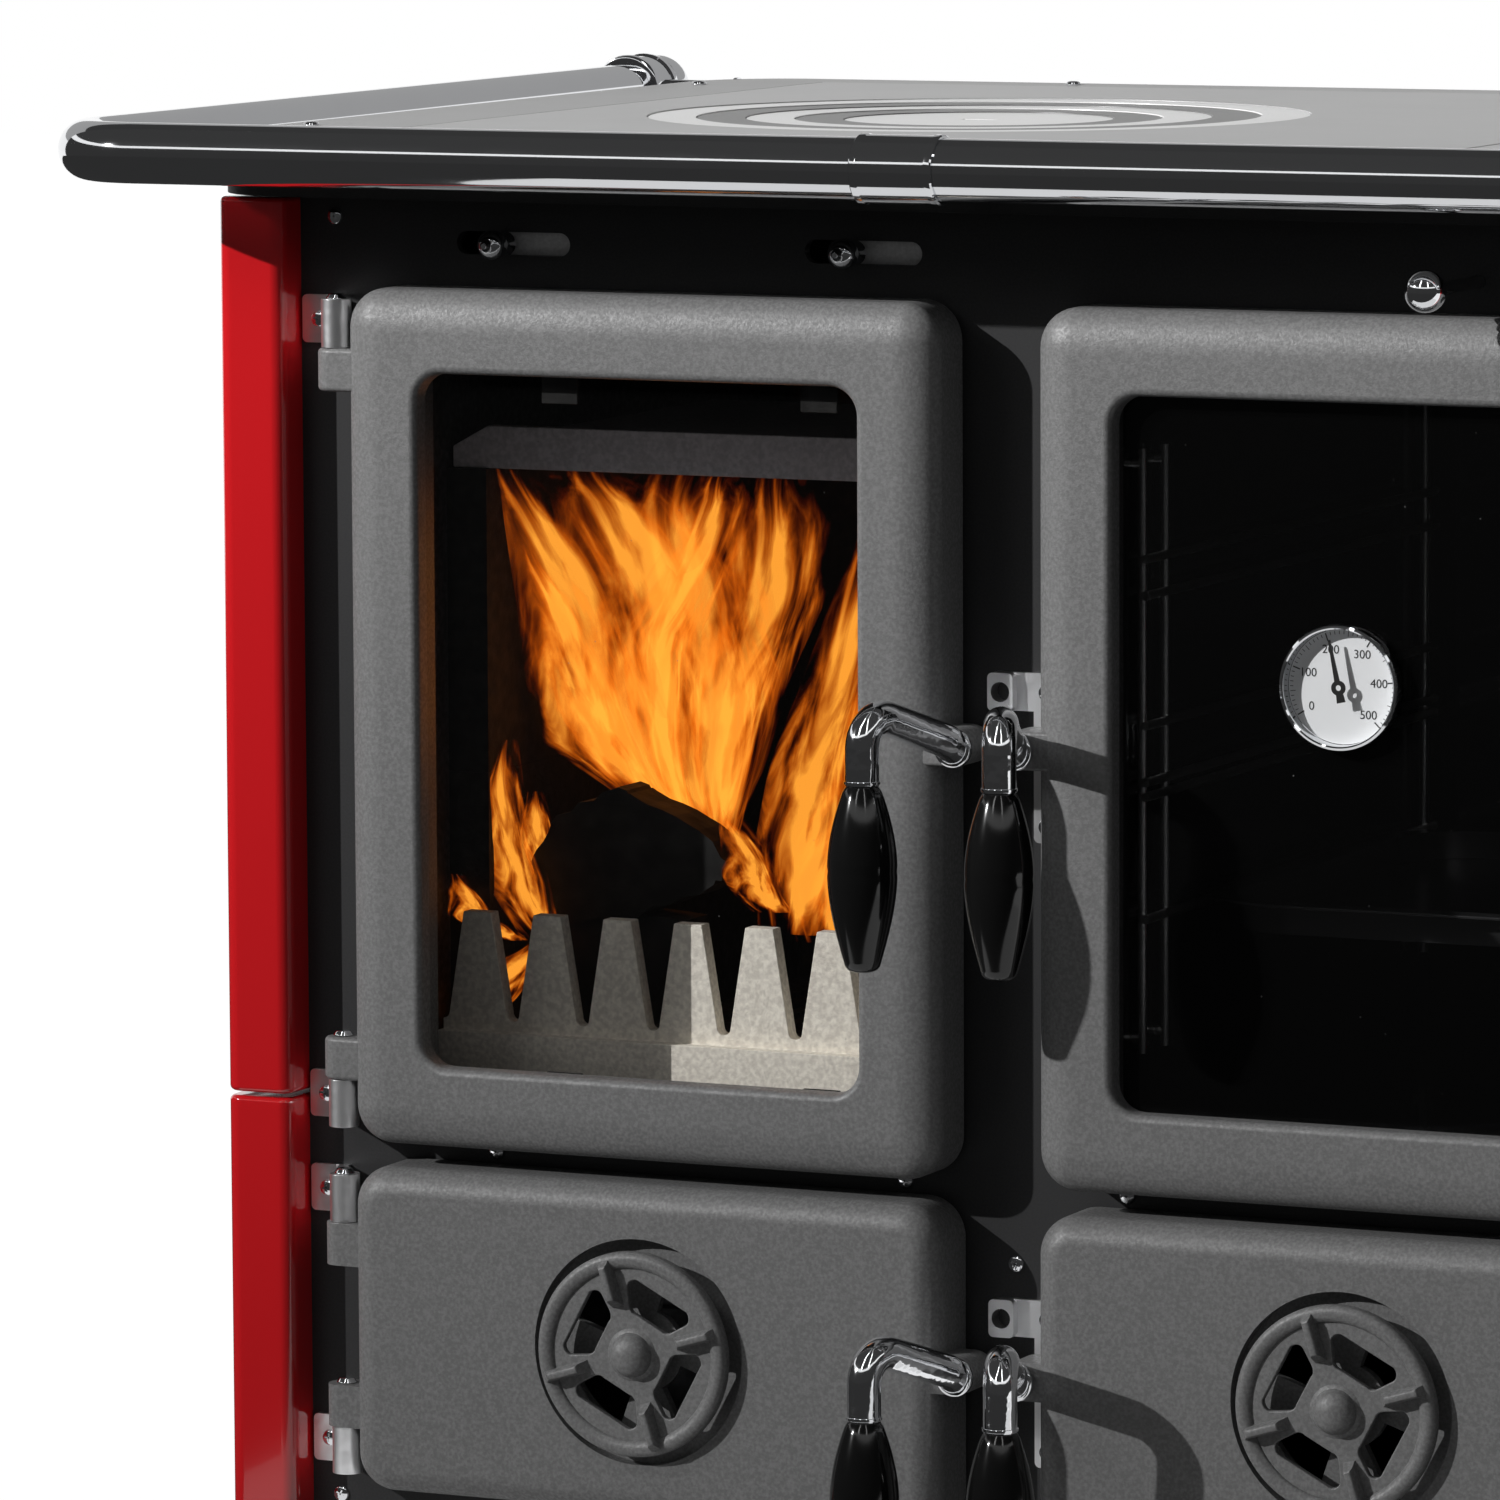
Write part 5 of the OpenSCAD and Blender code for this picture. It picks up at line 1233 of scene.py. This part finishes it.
class Fire(bpy.types.Operator):
    """The fire's logs and flames, which are what the range holds and no part of it"""
    bl_idname = "range_cooker.fire"
    bl_label = "Fire"

    # Each sheet's (x, y, z, width) from foot to tip, y counted back from the front frame
    TONGUES = (
        ((-252, 130, 448, 24), (-275, 120, 488, 48), (-296, 105, 534, 66),
         (-314, 90, 592, 70), (-326, 72, 639, 56), (-330, 62, 668, 46)),
        ((-251, 135, 450, 28), (-268, 125, 499, 60), (-276, 115, 552, 86),
         (-277, 105, 604, 90), (-284, 95, 650, 76), (-286, 90, 668, 60)),
        ((-247, 140, 447, 22), (-248, 135, 493, 52), (-248, 130, 545, 72),
         (-249, 125, 592, 80), (-246, 120, 638, 78), (-243, 115, 668, 66)),
        ((-249, 150, 446, 16), (-242, 150, 498, 36), (-230, 145, 545, 50),
         (-215, 140, 592, 56), (-202, 135, 638, 48), (-194, 130, 668, 38)),
        ((-282, 120, 479, 28), (-303, 112, 508, 54), (-317, 96, 555, 50),
         (-322, 82, 596, 38), (-327, 72, 625, 22)),
        ((-249, 110, 456, 10), (-262, 105, 513, 28), (-265, 100, 571, 42),
         (-243, 100, 617, 42), (-223, 100, 652, 34), (-216, 100, 668, 24)),
        ((-168, 70, 412, 40), (-164, 75, 459, 52), (-154, 80, 504, 46),
         (-140, 85, 549, 40), (-130, 90, 600, 34), (-120, 95, 644, 26)),
        ((-175, 66, 424, 22), (-192, 68, 447, 30), (-206, 70, 480, 12)),
        ((-149, 90, 405, 34), (-148, 95, 457, 46), (-138, 100, 508, 40), (-125, 105, 560, 26)),
        ((-314, 62, 402, 22), (-331, 58, 430, 32), (-339, 54, 458, 28),
         (-337, 52, 487, 20), (-333, 52, 516, 8)),
        ((-324, 80, 422, 16), (-326, 76, 451, 20), (-329, 74, 484, 10)),
        ((-336, 50, 402, 20), (-354, 48, 415, 24), (-366, 47, 438, 10)),
        ((-360, 46, 356, 22), (-339, 48, 376, 28), (-311, 50, 402, 20)),
    )
    # Outlines in (x, z) of the burnt split logs, and how far back their fronts stand
    LOGS = (
        (68, ((-275, 489), (-262, 486), (-224, 468), (-205, 450), (-214, 436), (-262, 418), (-318, 408),
              (-330, 428), (-327, 448), (-312, 472))),
        (72, ((-318, 424), (-235, 416), (-262, 352), (-372, 338), (-352, 372))),
    )

    def execute(self, context):
        rng = random.Random(11)
        for k, knots in enumerate(self.TONGUES):
            flame_tongue("flame_%02d" % k, knots, rng)
        for k, (depth, outline) in enumerate(self.LOGS):
            self.log("log_%d" % k, depth, outline, rng)
        return {"FINISHED"}

    def log(self, name, depth, outline, rng):
        """A charred split log: a rough-edged block running back into the firebox."""
        ragged = []
        parts, rough = 5, 1.6
        for (x, z), (next_x, next_z) in zip(outline, outline[1:] + outline[:1]):
            for t in (s / parts for s in range(parts)):
                aside, above = rng.uniform(-rough, rough), rng.uniform(-rough, rough)
                ragged.append((x + (next_x - x) * t + aside, z + (next_z - z) * t + above))
        bm = bmesh.new()
        bridge(bm, [[at(x, y, z) for x, z in ragged] for y in (depth, depth + 30.0)])
        bmesh.ops.recalc_face_normals(bm, faces=bm.faces)
        log = scene_mesh(name, bm)
        log.data.materials.append(material("charcoal"))


# ---------------------------------------------------------------- stage

class Stage(bpy.types.Operator):
    """Camera, lamps, pale floor and the dark screens that the chrome mirrors"""
    bl_idname = "range_cooker.stage"
    bl_label = "Stage"

    def execute(self, context):
        scene = context.scene
        scene.view_settings.view_transform = "Standard"
        self.camera(scene)
        self.sky(scene)
        self.floor()
        self.screens()
        self.lamps()
        return {"FINISHED"}

    def camera(self, scene):
        """The photograph's viewpoint: right of the middle, a little above the hob."""
        yaw, pitch, roll = 24.98, 6.79, -0.274
        focal_px, frame_px, sensor = 9343.0, 1500.0, 36.0
        data = bpy.data.cameras.new("camera")
        data.sensor_width = sensor
        data.lens = sensor * focal_px / frame_px
        data.clip_end = 60.0
        camera = scene_object("camera", data)
        camera.location = at(2002.3, -4640.5, 1133.3)
        turn = Matrix.Rotation(math.radians(yaw), 4, "Z") @ Matrix.Rotation(math.radians(90 - pitch), 4, "X")
        camera.rotation_euler = (turn @ Matrix.Rotation(math.radians(roll), 4, "Z")).to_euler()
        scene.camera = camera

    def sky(self, scene):
        """White for the eye, for mirrors and through glass, and a low fill for the rest."""
        world = bpy.data.worlds.new("studio")
        scene.world = world
        world.use_nodes = True
        tree = world.node_tree
        fill(tree, tree.nodes["Background"], {
            "Color": grey(1.0),
            "Strength": remap(tree, seen_rays(tree), 0.11, 1.0)})

    def glowing(self, name, glow, base=0.0):
        """A backdrop finish that adds a set white glow for rays that see it."""
        material, tree, shader = new_material(name)
        fill(tree, shader, {
            "Base Color": grey(base),
            "Roughness": 1.0,
            "Specular IOR Level": 0.0,
            "Emission Color": grey(1.0),
            "Emission Strength": remap(tree, seen_rays(tree), 0.0, glow)})
        return material

    def sheet(self, name, corners, finish):
        """A flat four-cornered piece of the stage."""
        bm = bmesh.new()
        bm.faces.new([bm.verts.new(corner) for corner in corners])
        sheet = scene_mesh(name, bm)
        sheet.data.materials.append(finish)
        return sheet

    def floor(self):
        half = 14.0
        corners = [(-half, -half, 0), (half, -half, 0), (half, half, 0), (-half, half, 0)]
        self.sheet("floor", corners, self.glowing("pale_floor", 0.94, 0.15))

    def screens(self):
        """Dark screens in front, seen only by mirrors, give chrome and enamel their contrast."""
        self.screen("screen_low", (165, 381), (-8.1, 17.0), 0.035)
        self.screen("screen_left", (165, 258), (23.0, 90.0), 0.045)
        self.screen("screen_middle", (264, 304), (23.0, 90.0), 0.045)
        self.screen("screen_right", (309, 381), (23.0, 90.0), 0.045)
        self.screen("screen_over", (21, 165), (32.0, 90.0), 0.04)
        self.screen("screen_back", (21, 165), (11.0, 32.0), 0.36)
        self.screen("panel_left", (258, 264), (23.0, 66.0), 5.0)
        self.screen("panel_right", (304, 309), (23.0, 60.0), 4.0)
        self.mat("grey_ground", (-0.7, 1.4), (-0.6, 0.0), 0.75)
        self.mat("dark_ground", (-6.0, 9.0), (-6.0, -0.6), 0.03)
        self.mat("dark_left", (-6.0, -0.7), (-0.6, 0.0), 0.03)
        self.mat("dark_beside", (-6.0, -0.49), (0.0, 3.0), 0.03)

    def screen(self, name, round_about, heights, glow):
        """Part of a dome round the range, between two bearings and two heights in degrees."""
        bm = bmesh.new()
        centre = Vector((0, 0, 0.85))
        steps, reach, part = 8, 6.0, 6.0
        start, end = round_about
        parts = max(1, round((end - start) / part))
        bearings = [math.radians(start + (end - start) * k / parts) for k in range(parts + 1)]
        rows = []
        for s in range(steps + 1):
            up = math.radians(heights[0] + (heights[1] - heights[0]) * s / steps)
            flat = reach * math.cos(up)
            level = centre + Vector((0, 0, reach * math.sin(up)))
            spots = [level + Vector((flat * math.cos(t), flat * math.sin(t), 0)) for t in bearings]
            rows.append([bm.verts.new(spot) for spot in spots])
        for a, b in zip(rows, rows[1:]):
            for k in range(len(a) - 1):
                bm.faces.new((a[k], a[k + 1], b[k + 1], b[k]))
        screen = scene_mesh(name, bm)
        screen.data.materials.append(self.glowing(name, glow))
        self.mirror_only(screen)

    def mat(self, name, xs, ys, glow):
        """Ground that mirrors see, in metres from the front frame's middle."""
        spots = ((xs[0], ys[1]), (xs[0], ys[0]), (xs[1], ys[0]), (xs[1], ys[1]))
        corners = [(x, FRONT_Y + y, 0.002) for x, y in spots]
        self.mirror_only(self.sheet(name, corners, self.glowing(name, glow)))

    def mirror_only(self, obj):
        obj.visible_camera = False
        obj.visible_diffuse = False
        obj.visible_shadow = False
        obj.visible_transmission = False

    def lamps(self):
        """A low sun from the front left, graded towards the ground, and a weak soft box."""
        travel = Vector((1.1, 1.0, -0.7))
        data = bpy.data.lights.new("key", "SUN")
        data.energy = 3.9
        data.angle = math.radians(0.8)
        key = scene_object("key", data)
        key.rotation_euler = travel.to_track_quat("-Z", "Y").to_euler()
        data = bpy.data.lights.new("soft_box", "AREA")
        data.shape = "DISK"
        data.size = 0.6
        data.energy = 4.0
        box = scene_object("soft_box", data)
        box.location = at(-100, 0, 900) - Vector((0.8, 1.0, -0.7)).normalized() * 1.5
        box.rotation_euler = Vector((0.8, 1.0, -0.9)).to_track_quat("-Z", "Y").to_euler()
        box.visible_glossy = False
        self.card("graded_scrim", (-4000, 2600), -1300, (-600, 2800), self.scrim(0.86, 1.66, 0.62))
        self.card("fence_flag", (-345, -238), 5, (300, 460), self.glowing("flag", 0.0))

    def card(self, name, xs, y, zs, finish):
        """An upright card that only shades the lamps."""
        corners = ((xs[0], zs[0]), (xs[1], zs[0]), (xs[1], zs[1]), (xs[0], zs[1]))
        card = self.sheet(name, [at(x, y, z) for x, z in corners], finish)
        card.visible_camera = False
        card.visible_diffuse = False
        card.visible_glossy = False
        card.visible_transmission = False

    def scrim(self, low, high, most):
        """Net that takes away more light the lower it is crossed, in metres."""
        material, tree, shader = new_material("scrim")
        height = add_node(tree, "ShaderNodeSeparateXYZ", {"Vector": object_coords(tree)}).outputs["Z"]
        fill(tree, shader, {
            "Base Color": grey(0.0),
            "Alpha": remap(tree, height, most, 0.0, low, high)})
        return material


class RangePanel(bpy.types.Panel):
    """Lists the range cooker's pieces"""
    bl_idname = "VIEW3D_PT_range_cooker"
    bl_label = "Range Cooker"
    bl_space_type = "VIEW_3D"
    bl_region_type = "UI"
    bl_category = "Range Cooker"

    def draw(self, context):
        for operator in OPERATORS:
            self.layout.operator(operator.bl_idname)


OPERATORS = (Stage, GlazedDoors, VentedDoors, Handles, HingesAndScrews, Hob, TowelRail, Carcase, Firebox,
             Oven, AirControls, Thermometer, Fire)
CLASSES = (RangeSizes, RangeColours) + OPERATORS + (RangePanel,)


def register():
    for cls in CLASSES:
        bpy.utils.register_class(cls)
    bpy.types.Scene.range_sizes = bpy.props.PointerProperty(type=RangeSizes)
    bpy.types.Scene.range_colours = bpy.props.PointerProperty(type=RangeColours)


def unregister():
    del bpy.types.Scene.range_colours
    del bpy.types.Scene.range_sizes
    for cls in reversed(CLASSES):
        bpy.utils.unregister_class(cls)


def main():
    register()
    for operator in OPERATORS:
        group, name = operator.bl_idname.split(".")
        getattr(getattr(bpy.ops, group), name)()


if __name__ == "__main__":
    main()
